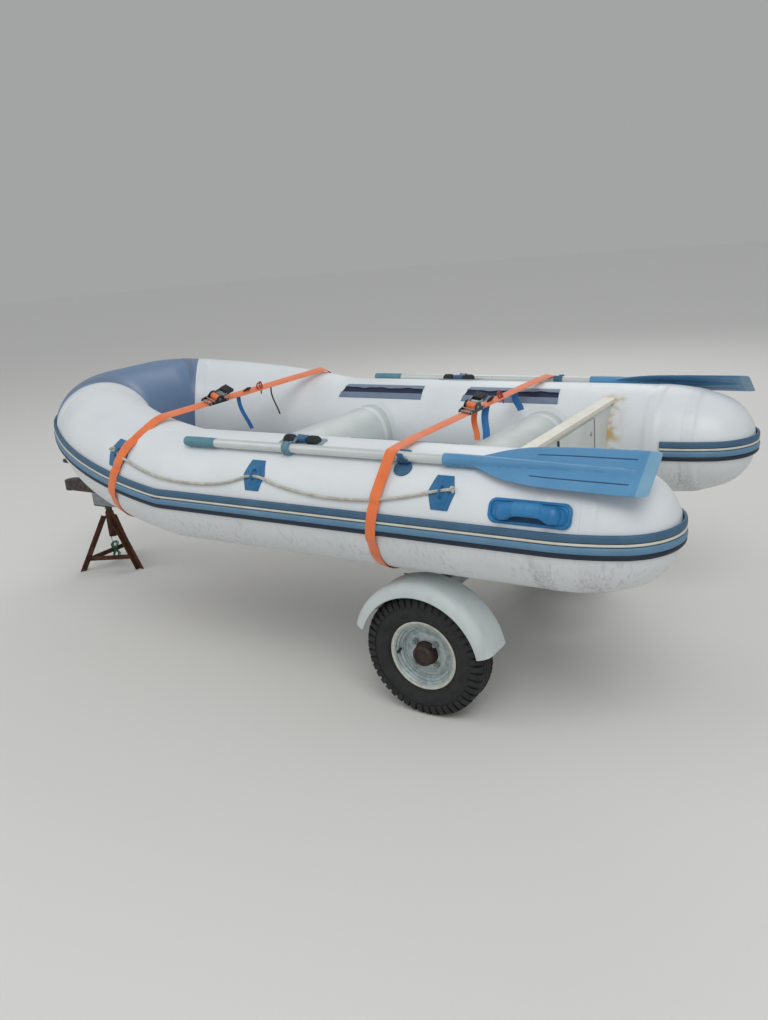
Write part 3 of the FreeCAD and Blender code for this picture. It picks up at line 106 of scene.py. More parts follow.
class Nodes:
    """Adds shader nodes to one tree and hands back the output that the next one reads."""

    def __init__(self, tree: bpy.types.NodeTree) -> None:
        """Work on a tree."""
        self.tree = tree

    def fill(self, node: bpy.types.Node, inputs: dict) -> None:
        """Set or link a node's sockets.

        Args:
            node: The node.
            inputs: A value, or another node's output, for each socket by name or number.
        """
        for key, value in inputs.items():
            if isinstance(value, Socket):
                self.tree.links.new(value, node.inputs[key])
            else:
                node.inputs[key].default_value = value

    def add(self, kind: str, inputs: dict | None = None, **settings: str) -> bpy.types.Node:
        """Add a node.

        Args:
            kind: Its type's name, after ShaderNode.
            inputs: What its sockets get.
            **settings: Its own properties.

        Returns:
            The new node.
        """
        made = self.tree.nodes.new("ShaderNode" + kind)
        for name, value in settings.items():
            setattr(made, name, value)
        self.fill(made, inputs or {})
        return made

    def cloud(self, place: Socket, scale: float, detail: float, rough: float = 0.5) -> Socket:
        """Noise over a place."""
        return self.add("TexNoise", {"Vector": place, "Scale": scale, "Detail": detail,
                                     "Roughness": rough}).outputs["Fac"]

    def ramp(self, value: Socket, low: float, high: float, bottom: float = 0.0,
             top: float = 1.0) -> Socket:
        """A value stretched from between two bounds, and held beyond them."""
        return self.add("MapRange", {"Value": value, "From Min": low, "From Max": high,
                                     "To Min": bottom, "To Max": top}).outputs["Result"]

    def reckon(self, operation: str, *values: Socket | float) -> Socket:
        """The result of one sum."""
        return self.add("Math", dict(enumerate(values)), operation=operation).outputs["Value"]

    def product(self, share: Socket, *others: Socket | float) -> Socket:
        """Values multiplied with each other.

        Args:
            share: The first value.
            *others: The values that it is multiplied with.

        Returns:
            The output that carries the product.
        """
        for other in others:
            share = self.reckon("MULTIPLY", share, other)
        return share

    def away(self, axis: Socket, middle: float = 0.0) -> Socket:
        """The distance from a middle along one axis."""
        return self.reckon("ABSOLUTE", self.reckon("SUBTRACT", axis, middle))

    def mixed(self, share: Socket, first: Socket | tuple, second: Socket | tuple) -> Socket:
        """Two colours mixed by a share."""
        return self.add("Mix", {0: share, 6: first, 7: second}, data_type="RGBA").outputs[2]


@dataclass(frozen=True)
class Finish:
    """One real surface: its colours, how it shines, its fine relief and what has soiled it."""

    name: str
    colour: str
    shade: str
    roughness: float
    metallic: float = 0.0
    ior: float = 1.5
    patch_mm: float = 90.0
    grain_mm: float = 1.2
    grain_depth_mm: float = 0.05
    surface: Surface = Surface.GRAIN
    sheen: float = 0.0
    coat: float = 0.0
    contrast: float = 1.0
    soil: str = ""
    soil_share: float = 0.0
    soil_below: float = 9.0
    soil_seams: tuple[float, ...] = ()
    streak_mm: float = 9.0
    stain: str = ""
    stain_x: float = 0.0
    stain_reach: float = 0.06
    stain_inside: float = 0.43

    @lru_cache(maxsize=None)
    def material(self) -> bpy.types.Material:
        """Build the finish's material once.

        Returns:
            The material.
        """
        made = bpy.data.materials.new(self.name)
        made.use_nodes = True
        nodes = Nodes(made.node_tree)
        place = nodes.add("TexCoord").outputs["Object"]
        cloud = nodes.cloud(place, 1000 / self.patch_mm, 6.0, 0.6)
        share = nodes.ramp(cloud, 0.5 - 0.2 / self.contrast, 0.5 + 0.25 / self.contrast)
        colour = nodes.mixed(share, linear(self.colour), linear(self.shade))
        if self.soil_share > 0:
            colour = self.soiled(nodes, place, colour)
        if self.stain:
            colour = self.stained(nodes, place, colour)
        wear = nodes.cloud(place, 1000 / self.patch_mm * 2.3, 5.0)
        rough = nodes.ramp(wear, 0.3, 0.7, max(0.04, self.roughness - 0.07),
                           min(1.0, self.roughness + 0.09))
        bump = nodes.add("Bump", {"Height": self.relief(nodes, place), "Strength": 1.0,
                                  "Distance": self.grain_depth_mm / 1000})
        nodes.fill(nodes.tree.nodes["Principled BSDF"], {
            "Base Color": colour, "Roughness": rough, "Metallic": self.metallic,
            "IOR": self.ior, "Sheen Weight": self.sheen, "Coat Weight": self.coat,
            "Normal": bump.outputs["Normal"]})
        return made

    def soiled(self, nodes: Nodes, place: Socket, colour: Socket) -> Socket:
        """Lay dirt in streaks that run down, below one height and thicker beside the seams.

        Args:
            nodes: The material's nodes.
            place: The coordinates to read.
            colour: The clean colour.

        Returns:
            The soiled colour.
        """
        drawn = nodes.add("Mapping", {"Vector": place, "Scale": (1.0, 1.0, 0.09)})
        thick = nodes.cloud(drawn.outputs["Vector"], 1000 / self.streak_mm, 3.0)
        spread = nodes.cloud(place, 7.0, 3.0)
        axes = nodes.add("SeparateXYZ", {"Vector": place}).outputs
        for seam in self.soil_seams:
            near = nodes.ramp(nodes.away(axes["X"], seam), 0.050, 0.008, 0.0, 0.13)
            thick, spread = (nodes.reckon("ADD", dirt, near) for dirt in (thick, spread))
        low = nodes.ramp(axes["Z"], self.soil_below, self.soil_below - 0.12)
        share = nodes.product(nodes.ramp(thick, 0.52, 0.72), nodes.ramp(spread, 0.36, 0.66), low,
                              self.soil_share)
        return nodes.mixed(share, colour, linear(self.soil))

    def stained(self, nodes: Nodes, place: Socket, colour: Socket) -> Socket:
        """Lay an old glue stain on the inboard side, about one place along the boat.

        Args:
            nodes: The material's nodes.
            place: The coordinates to read.
            colour: The colour without it.

        Returns:
            The stained colour.
        """
        axes = nodes.add("SeparateXYZ", {"Vector": place}).outputs
        share = nodes.product(
            nodes.ramp(nodes.away(axes["X"], self.stain_x), self.stain_reach, 0.012),
            nodes.ramp(nodes.away(axes["Y"]), self.stain_inside, self.stain_inside - 0.03),
            nodes.ramp(nodes.cloud(place, 26.0, 5.0), 0.40, 0.62))
        return nodes.mixed(share, colour, linear(self.stain))

    def relief(self, nodes: Nodes, place: Socket) -> Socket:
        """Draw the fine relief of the surface.

        Args:
            nodes: The material's nodes.
            place: The coordinates to read.

        Returns:
            The height that goes to the bump.
        """
        scale = 1000 / self.grain_mm
        if self.surface is Surface.WOVEN:
            where = nodes.add("UVMap", uv_map="weave").outputs["UV"]
            threads = [nodes.add("TexWave", {
                "Vector": where, "Scale": scale / math.pi, "Distortion": 0.6},
                bands_direction=direction).outputs["Fac"] for direction in ("X", "Y")]
            return nodes.product(*threads)
        if self.surface is Surface.BRUSHED:
            drawn = nodes.add("Mapping", {"Vector": place, "Scale": (0.06, 1, 1)})
            place = drawn.outputs["Vector"]
        return nodes.cloud(place, scale, 3.0)


def shift(x: float, y: float, z: float) -> Matrix:
    """A move along the three axes."""
    return Matrix.Translation((x, y, z))


def turned(degrees: float, axis: str) -> Matrix:
    """A turn about one axis."""
    return Matrix.Rotation(math.radians(degrees), 4, axis)


def even(count: int) -> list[float]:
    """Even shares from 0 to 1, with both ends."""
    return [i / count for i in range(count + 1)]


# Where dirt gathers: the two seams of each stern cone
CONE_SEAMS = (AXLE_X - 0.566, AXLE_X - 0.435)

# Coated tube fabric: PVC on polyester, a soft satin skin with road dirt in the lower half
TUBE_FABRIC = Finish("coated_tube_fabric", "#dfe2e4", "#d3d8da", 0.42, ior=1.53, patch_mm=260,
                     grain_mm=0.9, grain_depth_mm=0.03, soil="#7d7f7c", soil_share=0.6,
                     streak_mm=11, soil_below=0.66, soil_seams=CONE_SEAMS, stain="#c2a878",
                     stain_x=AXLE_X - 0.290)
# The bow's darker fabric, made lighter all over to stand in for the sky's sheen on its top: painted
# reflection
BOW_FABRIC = Finish("bow_fabric_painted_sheen", "#6b84a5", "#5e7798", 0.40, ior=1.53, patch_mm=300,
                    grain_mm=0.9, grain_depth_mm=0.03)
# Seam tape is the same coated fabric, cleaner and a little glossier
WHITE_TAPE = Finish("white_seam_tape", "#dadee0", "#d0d5d8", 0.36, ior=1.53, patch_mm=120,
                    soil="#7d7f7c", soil_share=0.6, streak_mm=7, soil_below=0.62,
                    soil_seams=CONE_SEAMS)
BLUE_TAPE = Finish("blue_seam_tape", "#6b7c93", "#5d6e86", 0.36, ior=1.53, patch_mm=120)
# Extruded rubber of the strake, in the strips that its profile shows
STRAKE_SLATE = Finish("slate_strake_rubber", "#416682", "#375a74", 0.55, patch_mm=70)
STRAKE_LIGHT = Finish("pale_blue_strake_rubber", "#6089a5", "#547b99", 0.5, patch_mm=70)
# Painted shade: a near-black navy on the strake's underside and in its two grooves, where shade
# falls
STRAKE_SHADE_NAVY = Finish("navy_strake_painted_shade", "#142438", "#0e1c2e", 0.5, patch_mm=60)
STRAKE_CREAM = Finish("cream_strake_cord", "#d8d5c9", "#c4bfaf", 0.55, patch_mm=45)
# Inflated thwarts: the same fabric, thinner and a little greener with age
THWART_FABRIC = Finish("inflated_thwart_fabric", "#cbd1ce", "#bcc4c1", 0.45, ior=1.53, patch_mm=140,
                       grain_mm=0.9, grain_depth_mm=0.03)
RAIL_SLATE = Finish("slate_rail_rubber", "#75849a", "#66758c", 0.5, patch_mm=60)
# Painted shade: the rail's slot is coloured dark navy for the shade under its upper flap
RAIL_SLOT_SHADE = Finish("painted_shade_rail_slot", "#1d2743", "#151d33", 0.45, patch_mm=40)
# Glued fittings of moulded blue PVC
PATCH_BLUE = Finish("moulded_blue_fitting", "#216c9c", "#1b5f8c", 0.42, ior=1.53, patch_mm=30,
                    grain_mm=0.8)
HANDLE_BLUE = Finish("bright_blue_handle", "#2179b0", "#19679c", 0.4, ior=1.53, patch_mm=40)
GRIP_BLUE = Finish("chequered_handle_grip", "#3183b8", "#2573a8", 0.5, grain_mm=3.0,
                   grain_depth_mm=0.5, patch_mm=30)
# Painted shade: a thin dark plate under the grip stands in for the shade in the hand's hollow
HAND_HOLLOW_SHADE = Finish("painted_shade_hand_hollow", "#1c4468", "#153653", 0.6, patch_mm=20)
# Laid rope of polyester, greyed by weather
ROPE = Finish("weathered_rope", "#c9c6bb", "#a5a196", 0.8, sheen=0.2, patch_mm=22,
              grain_mm=0.7, grain_depth_mm=0.15, contrast=1.6)
OAR_ALUMINIUM = Finish("anodised_oar_tube", "#d6dad9", "#cbd0cf", 0.34, metallic=0.35,
                       patch_mm=120, grain_mm=0.5, grain_depth_mm=0.01,
                       surface=Surface.BRUSHED)
OAR_GRIP = Finish("ribbed_oar_grip", "#5c8d9b", "#4d7d8c", 0.5, patch_mm=40)
BLADE_BLUE = Finish("moulded_oar_blade", "#5990b8", "#4c83ad", 0.38, patch_mm=90)
# Painted light: the blade's thinner tip is coloured paler for the light that comes through it
BLADE_TIP_GLOW = Finish("blade_tip_painted_light", "#7aa3bc", "#6c98b3", 0.38, patch_mm=90)
# Painted shade: the grooves are coloured dark for the shade that falls in them
BLADE_GROOVE_SHADE = Finish("painted_shade_blade_groove", "#22355f", "#1b2b50", 0.5, patch_mm=30)
COLLAR_BLUE = Finish("grey_blue_collar", "#668b9c", "#577a8b", 0.45, patch_mm=30)
# Dark rubber of the rowlocks; the same colour on the transom pad's edge strips is painted shade for
# a gap
DARK_RUBBER_AND_GAP_SHADE = Finish("dark_rubber_and_gap_shade", "#2a3136", "#20262a", 0.6, patch_mm=20)
BASE_GREY = Finish("grey_rowlock_base", "#8d9aa3", "#7d8a94", 0.5, patch_mm=30)
CLIP_SLATE = Finish("slate_oar_clip", "#3d6889", "#335a79", 0.45, patch_mm=30)
# Polyester webbing, faded by sun along its length
WEBBING = Finish("orange_webbing", "#ee8046", "#e56a30", 0.75, sheen=0.3, patch_mm=60,
                 grain_mm=1.6, grain_depth_mm=0.25, surface=Surface.WOVEN)
BLUE_TAIL = Finish("blue_webbing", "#2f7fc0", "#2368a8", 0.75, sheen=0.3, patch_mm=40,
                   grain_mm=1.6, grain_depth_mm=0.25, surface=Surface.WOVEN)
BLACK_PAINT = Finish("black_coated_steel", "#1b1c1e", "#26282a", 0.4, patch_mm=15, coat=0.2)
RED_PAINT = Finish("red_coated_hook", "#b0322c", "#8d2723", 0.4, patch_mm=15, coat=0.2)
ZINC = Finish("bright_zinc_plate", "#b9bcbd", "#9da1a3", 0.32, metallic=1.0, patch_mm=18,
              grain_mm=0.6, grain_depth_mm=0.02)
# Hot dip galvanising: dull grey with a crystal mottle and some rust stain
GALVANISED = Finish("hot_dip_galvanising", "#9ba1a4", "#858c90", 0.48, metallic=0.75, patch_mm=26,
                    grain_mm=2.5, grain_depth_mm=0.06, contrast=1.8, soil="#6b4a33",
                    soil_share=0.4, streak_mm=16)
# The coupling's old casting, dull and browned
CASTING = Finish("browned_coupling_casting", "#5c5551", "#453c37", 0.62, metallic=0.5, patch_mm=18,
                 grain_mm=1.4, grain_depth_mm=0.2, contrast=1.8, soil="#6b4a33", soil_share=0.5)
RUST = Finish("rusted_steel", "#5d3826", "#3a2419", 0.88, patch_mm=34, grain_mm=2.2,
              grain_depth_mm=0.5, contrast=2.2, soil="#8a5a38", soil_share=0.5)
HUB_RUST = Finish("rusted_hub_casting", "#3d2a24", "#221714", 0.55, patch_mm=16, grain_mm=1.6,
                  grain_depth_mm=0.4, contrast=2.0)
# Twisted green twine
STRING = Finish("green_twine", "#2f7a5c", "#1f5c47", 0.8, sheen=0.2, patch_mm=10, grain_mm=0.6,
                grain_depth_mm=0.2)
HULL_GEL = Finish("gel_coated_hull", "#d7dadb", "#c6cacb", 0.25, coat=0.3, patch_mm=300,
                  soil="#8a8a80", soil_share=0.6, streak_mm=14, soil_below=0.6)
DECK_GREY = Finish("textured_deck", "#a9afb2", "#989fa3", 0.6, patch_mm=120, grain_mm=4,
                   grain_depth_mm=0.3)
BOARD = Finish("painted_transom_board", "#cfd3d0", "#c2c6c1", 0.5, patch_mm=150,
               soil="#a89f7c", soil_share=0.35, streak_mm=30, soil_below=0.86)
CAP_CREAM = Finish("cream_transom_cap", "#e3dfd2", "#d3cdbb", 0.45, patch_mm=60)
BUNK_WOOD = Finish("weathered_bunk_timber", "#8b7a63", "#6b5b48", 0.85, patch_mm=40,
                   grain_mm=3, grain_depth_mm=0.5, surface=Surface.BRUSHED)
ROLLER = Finish("black_roller_rubber", "#24262a", "#1b1d20", 0.7, patch_mm=30)
TYRE = Finish("worn_tyre_rubber", "#1b1c1d", "#282929", 0.72, patch_mm=30, grain_mm=1.2,
              grain_depth_mm=0.12, contrast=1.4)
RIM_STEEL = Finish("galvanised_wheel", "#b9c4c4", "#98a5a8", 0.4, metallic=0.6, patch_mm=18,
                   grain_mm=1.8, grain_depth_mm=0.04, contrast=1.5, soil="#5a3f2e",
                   soil_share=0.25, streak_mm=8)
RIM_CREAM = Finish("cream_wheel_paint", "#c9cbc0", "#a9aa9c", 0.5, patch_mm=22, contrast=1.5)
GUARD = Finish("moulded_mudguard", "#c9d0cf", "#bcc5c4", 0.45, patch_mm=160, soil="#8b8a80",
               soil_share=0.25, streak_mm=40)


@dataclass(frozen=True)
class Tube:
    """The inflated tubes' driving sizes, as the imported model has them."""

    radius: float = 0.198
    side: float = 0.509
    height: float = 0.665
    stern: float = -0.445
    cone_radius: float = 0.600
    cone_angle: float = 20.0
    sheer_start: float = 0.950
    sheer_radius: float = 0.300
    sheer_angle: float = 9.75
    flare_radius: float = 1.120
    flare_angle: float = 37.0
    shoulder_radius: float = 0.220

    @property
    def tip_radius(self) -> float:
        """The tight arc that closes the stern cone."""
        turn = math.radians(self.cone_angle)
        return (self.radius - self.cone_radius * (1 - math.cos(turn))) / math.cos(turn)

    @property
    def cone_length(self) -> float:
        """From the cone's start to its tip."""
        turn = math.radians(self.cone_angle)
        return (self.cone_radius - self.tip_radius) * math.sin(turn) + self.tip_radius

    @property
    def cross_length(self) -> float:
        """The straight between the bow's two shoulders.

        Returns:
            Its length.
        """
        turn = math.radians(self.flare_angle)
        used = self.flare_radius * (1 - math.cos(turn)) + self.shoulder_radius * math.cos(turn)
        return 2 * (self.side - used)

    def cone_size(self, aft: float) -> float:
        """The cone's radius at a distance aft of its start.

        Args:
            aft: The distance.

        Returns:
            The radius there, or the tube's own where aft isn't past the start.
        """
        turn = math.radians(self.cone_angle)
        if aft <= 0:
            return self.radius
        if aft <= self.cone_radius * math.sin(turn):
            return self.radius - self.cone_radius + math.sqrt(self.cone_radius ** 2 - aft ** 2)
        hub = (self.cone_radius - self.tip_radius) * math.sin(turn)
        return math.sqrt(max(0.0, self.tip_radius ** 2 - (aft - hub) ** 2))


class CentreLine:
    """Straights and arcs end to end. A frame's X runs ahead, its Y to the left and its Z up."""

    def __init__(self, start: Matrix) -> None:
        """Begin at a frame.

        Args:
            start: The frame at its start.
        """
        self.runs: list[tuple[float, float, Matrix, Vector | None, Vector | None]] = []
        self.length = 0.0
        self.end = start

    def ahead(self, length: float) -> None:
        """Go straight on.

        Args:
            length: How far.
        """
        self.runs.append((self.length, length, self.end.copy(), None, None))
        self.length += length
        self.end = Matrix.Translation(self.end.col[0].xyz * length) @ self.end

    def turn(self, radius: float, degrees: float, towards: Vector) -> Vector:
        """Go round an arc.

        Args:
            radius: The arc's radius.
            degrees: How far it turns.
            towards: The direction from its start to its centre.

        Returns:
            The direction from its end to its centre.
        """
        heading = self.end.col[0].xyz
        centre = self.end.translation + towards * radius
        axis = heading.cross(towards)
        length = radius * math.radians(degrees)
        self.runs.append((self.length, length, self.end.copy(), centre, axis / radius))
        self.length += length
        self.end = self.at(self.length)
        return Matrix.Rotation(math.radians(degrees), 3, axis) @ towards

    def at(self, along: float) -> Matrix:
        """The frame at a distance along.

        Args:
            along: The distance from the start.

        Returns:
            The frame there.
        """
        first, length, frame, centre, bend = next(
            (run for run in self.runs if along <= run[0] + run[1]), self.runs[-1])
        step = along - first
        if centre is None:
            return Matrix.Translation(frame.col[0].xyz * step) @ frame
        spin = Matrix.Rotation(step * bend.length, 4, bend)
        return Matrix.Translation(centre) @ spin @ Matrix.Translation(-centre) @ frame


class TubeLines:
    """The axes of the port tube and the bow tube, and places on the port tube's skin."""

    def __init__(self, tube: Tube) -> None:
        """Walk the port axis from the stern tip to the seam, and the bow from seam to seam.

        Args:
            tube: The tubes' sizes.
        """
        self.tube = tube
        tip = Vector((AXLE_X + tube.stern - tube.cone_length, tube.side, tube.height))
        self.port = CentreLine(Matrix.Translation(tip))
        self.port.ahead(tube.sheer_start - tube.stern + tube.cone_length)
        self.port.turn(tube.sheer_radius, tube.sheer_angle, UP)
        inward = self.port.turn(tube.flare_radius, tube.flare_angle, -PORT)
        self.bow = CentreLine(self.port.end)
        inward = self.bow.turn(tube.shoulder_radius, 90 - tube.flare_angle, inward)
        self.bow.ahead(tube.cross_length)
        self.bow.turn(tube.shoulder_radius, 90 - tube.flare_angle, inward)

    def station(self, x: float) -> float:
        """The distance along the port axis at which it reaches a place.

        Args:
            x: The place, forward of the axle.

        Returns:
            The distance from the stern tip.
        """
        low, high = 0.0, self.port.length
        for _ in range(40):
            middle = (low + high) / 2
            if self.port.at(middle).translation.x < x + AXLE_X:
                low = middle
            else:
                high = middle
        return low

    def wrap(self, bm: Mesh, x: float, angle: float) -> None:
        """Lay a flat fitting on the port tube's skin.

        Args:
            bm: The fitting, drawn flat: X along the tube, Y round it and down, Z out of it.
            x: The fitting's middle, forward of the axle.
            angle: Its place round the tube in degrees, outboard of the top.
        """
        middle = self.station(x)
        for vert in bm.verts:
            along, around, out = vert.co
            turn = math.radians(angle) + around / self.tube.radius
            reach = self.tube.radius + out
            vert.co = self.port.at(middle + along) @ Vector(
                (0, reach * math.sin(turn), reach * math.cos(turn)))

    def skin(self, x: float, angle: float, lift: float = 0.0) -> Matrix:
        """A frame on the port tube's skin, with its Z out of the skin.

        Args:
            x: The place, forward of the axle.
            angle: Degrees round the tube, outboard of the top.
            lift: How far out of the skin.

        Returns:
            The frame.
        """
        out = turned(-angle, "X")
        return self.port.at(self.station(x)) @ out @ Matrix.Translation(
            (0, 0, self.tube.radius + lift))


LINES = TubeLines(Tube())
TUBE = LINES.tube


def loft(bm: Mesh, outline: Outline, frames: Sequence[Matrix], capped: bool = True,
         paint: Callable[[Vector, int], int] | None = None) -> None:
    """Carry an outline from frame to frame.

    Args:
        bm: The mesh that gets it.
        outline: Points across and up, in each frame's own Y and Z.
        frames: The frames, in order. A frame may scale the outline.
        capped: Whether the two ends are closed.
        paint: Gives a face's material number from its middle in its frame and its step.
    """
    verts = [bm.verts.new(frames[0] @ Vector((0, y, z))) for y, z in outline]
    edges = [bm.edges.new(pair) for pair in zip(verts, verts[1:] + verts[:1])]
    if capped:
        bm.faces.new(verts)
    for step, (before, after) in enumerate(zip(frames, frames[1:])):
        made = bmesh.ops.extrude_edge_only(bm, edges=edges)["geom"]
        verts = [item for item in made if isinstance(item, bmesh.types.BMVert)]
        moved = set(verts)
        edges = [item for item in made if isinstance(item, bmesh.types.BMEdge)
                 and item.verts[0] in moved and item.verts[1] in moved]
        bmesh.ops.transform(bm, matrix=after @ before.inverted(), verts=verts)
        if paint:
            back = before.inverted()
            for item in made:
                if isinstance(item, bmesh.types.BMFace):
                    item.material_index = paint(back @ item.calc_center_median(), step)
    if capped:
        bmesh.ops.contextual_create(bm, geom=edges)


def ring(radius: float, steps: int) -> list[tuple[float, float]]:
    """A circle's points, across and up."""
    return [(radius * math.sin(FULL_TURN * i / steps), radius * math.cos(FULL_TURN * i / steps))
            for i in range(steps)]


def rounded(length: float, height: float, radius: float,
            steps: int = 8) -> list[tuple[float, float]]:
    """A rectangle with rounded corners about the middle.

    Args:
        length: Its size across.
        height: Its size up.
        radius: Radius of its corners.
        steps: Steps of each corner.

    Returns:
        Its points.
    """
    points = []
    for corner, (x, y) in enumerate(((1, 1), (-1, 1), (-1, -1), (1, -1))):
        for index in range(steps + 1):
            angle = math.pi / 2 * (corner + index / steps)
            points.append((x * (length / 2 - radius) + radius * math.cos(angle),
                           y * (height / 2 - radius) + radius * math.sin(angle)))
    return points


def sized(frame: Matrix, wide: float, tall: float | None = None) -> Matrix:
    """A frame that scales its outline, across and up."""
    return frame @ Matrix.Diagonal((1, wide, wide if tall is None else tall, 1))


def upright(points: Sequence[Vector], out: Sequence[Vector], closed: bool = False) -> list[Matrix]:
    """Frames along points, with X ahead and Z as near as it can be to a given direction.

    Args:
        points: The path.
        out: The direction wanted for Z at each point.
        closed: Whether the path runs back into its start.

    Returns:
        One frame for each point.
    """
    frames = []
    for index, (point, away) in enumerate(zip(points, out)):
        last = len(points) - 1
        before = points[index - 1] if index or closed else point
        after = points[(index + 1) % len(points)] if index < last or closed else point
        ahead = (after - before).normalized()
        left = away.cross(ahead).normalized()
        frame = Matrix((ahead, left, ahead.cross(left))).transposed().to_4x4()
        frame.translation = point
        frames.append(frame)
    return frames


def hoop(bm: Mesh, outline: Outline, points: Sequence[Vector],
         out: Vector | Sequence[Vector]) -> None:
    """Carry an outline once round a closed path.

    Args:
        bm: The mesh that gets it.
        outline: The section, across and up.
        points: The path, without its first point again.
        out: The direction wanted for up, one for all or one for each point.
    """
    wanted = [out] * len(points) if isinstance(out, Vector) else out
    frames = upright(points, wanted, closed=True)
    loft(bm, outline, frames + frames[:1], capped=False)


def cord(bm: Mesh, outline: Outline, points: Sequence[Vector], out: Vector) -> None:
    """Carry an outline along an open path, with its up as near as it can be to one direction."""
    loft(bm, outline, upright(points, [out] * len(points)))


def softened(bm: Mesh, edges: Sequence[bmesh.types.BMEdge], radius: float,
             segments: int = 2) -> None:
    """Round some edges of a mesh."""
    bmesh.ops.bevel(bm, geom=edges, offset=radius, segments=segments, profile=0.5, affect="EDGES",
                    material=-1)


def stub(low: float, high: float, depth: float, move: Matrix, steps: int = 32) -> Mesh:
    """A round or many sided stub about Z.

    Args:
        low: Its lower radius.
        high: Its upper radius.
        depth: Its height.
        move: Where its middle goes.
        steps: Its sides.

    Returns:
        The stub's mesh.
    """
    bm = bmesh.new()
    bmesh.ops.create_cone(bm, cap_ends=True, segments=steps, radius1=low, radius2=high,
                          depth=depth, matrix=move)
    return bm


def placed(name: str, data: bpy.types.ID) -> bpy.types.Object:
    """A new object of the scene that shows some data.

    Args:
        name: The object's name.
        data: The mesh, lamp or camera that it shows.

    Returns:
        The object.
    """
    made = bpy.data.objects.new(name, data)
    bpy.context.scene.collection.objects.link(made)
    return made


def spun(bm: Mesh, profile: Outline, steps: int, centre: Vector = Vector(),
         paint: Callable[[Vector], int] | None = None) -> None:
    """Turn a closed profile of (across, radius) about the Y axis.

    Args:
        bm: The mesh that gets it.
        profile: Points across the wheel and out from its axis.
        steps: Steps round the full turn.
        centre: A point of the axis.
        paint: Gives a face's material number from its middle, measured from the centre.
    """
    before = set(bm.faces)
    verts = [bm.verts.new(centre + Vector((0, y, r))) for y, r in profile]
    edges = [bm.edges.new(pair) for pair in zip(verts, verts[1:] + verts[:1])]
    bmesh.ops.spin(bm, geom=verts + edges, cent=centre, axis=PORT, dvec=Vector(),
                   angle=FULL_TURN, steps=steps, use_merge=True, use_duplicate=False)
    if paint:
        for face in bm.faces:
            if face not in before:
                face.material_index = paint(face.calc_center_median() - centre)


def plate(outline: Outline, thickness: float, edge: float = 0.0, segments: int = 2) -> Mesh:
    """A flat plate on the XY plane with its top edge rounded.

    Args:
        outline: Its corners.
        thickness: How far it stands up.
        edge: Radius of the rounded top edge.
        segments: Steps of that rounding.

    Returns:
        The plate's mesh.
    """
    bm = bmesh.new()
    base = bm.faces.new([bm.verts.new((x, y, 0)) for x, y in outline])
    made = bmesh.ops.extrude_face_region(bm, geom=[base])["geom"]
    top = [item for item in made if isinstance(item, bmesh.types.BMVert)]
    bmesh.ops.translate(bm, vec=(0, 0, thickness), verts=top)
    if edge:
        rim = [item for item in bm.edges if all(abs(v.co.z - thickness) < 1e-9 for v in item.verts)]
        softened(bm, rim, edge, segments)
    return bm


def sliced(bm: Mesh, step: float = 0.006) -> Mesh:
    """Cut a flat fitting across, so that it can bend round the tube.

    Args:
        bm: The flat fitting.
        step: Width of a strip.

    Returns:
        The same mesh.
    """
    sides = [vert.co.y for vert in bm.verts]
    count = int((max(sides) - min(sides)) / step)
    for index in range(1, count + 1):
        bmesh.ops.bisect_plane(bm, geom=bm.verts[:] + bm.edges[:] + bm.faces[:], dist=1e-7,
                               plane_co=(0, min(sides) + index * step, 0), plane_no=PORT)
    return bm


def joined(target: Mesh, source: Mesh,
           paint: int | None = None, move: Matrix | None = None) -> None:
    """Add one mesh to another and free it.

    Args:
        target: The mesh that grows.
        source: The mesh that is added.
        paint: A material number for all of its faces.
        move: Where it goes.
    """
    if paint is not None:
        for face in source.faces:
            face.material_index = paint
    if move is not None:
        bmesh.ops.transform(source, matrix=move, verts=source.verts)
    carrier = bpy.data.meshes.new("carrier")
    source.to_mesh(carrier)
    source.free()
    target.from_mesh(carrier)
    bpy.data.meshes.remove(carrier)


def both_sides(bm: Mesh) -> None:
    """Add the starboard twin of a port piece."""
    bmesh.ops.mirror(bm, geom=bm.verts[:] + bm.edges[:] + bm.faces[:], matrix=Matrix.Identity(4),
                     merge_dist=1e-6, axis="Y")


def box(bm: Mesh, low: Sequence[float], high: Sequence[float], paint: int = 0,
        edge: float = 0.0, move: Matrix | None = None) -> None:
    """Add a block with rounded edges.

    Args:
        bm: The mesh that gets it.
        low: Its lowest corner.
        high: Its highest corner.
        paint: Its material number.
        edge: Radius of its edges.
        move: Where it goes.
    """
    part = bmesh.new()
    size = Vector(high) - Vector(low)
    bmesh.ops.create_cube(part, size=1.0, matrix=Matrix.Translation(
        (Vector(low) + Vector(high)) / 2) @ Matrix.Diagonal((*size, 1)))
    if edge:
        softened(part, part.edges[:], edge)
    joined(bm, part, paint, move)


def bar(bm: Mesh, start: Vector, end: Vector, radius: float, paint: int = 0,
        steps: int = 20, edge: float = 0.0) -> None:
    """Add a round bar between two points.

    Args:
        bm: The mesh that gets it.
        start: One end.
        end: The other end.
        radius: Its radius.
        paint: Its material number.
        steps: Its sides.
        edge: Radius of its end edges.
    """
    along = end - start
    turn = UP.rotation_difference(along).to_matrix().to_4x4()
    part = stub(radius, radius, along.length, Matrix.Translation((start + end) / 2) @ turn, steps)
    if edge:
        softened(part, [item for item in part.edges
                        if any(len(face.verts) == steps for face in item.link_faces)], edge)
    joined(bm, part, paint)


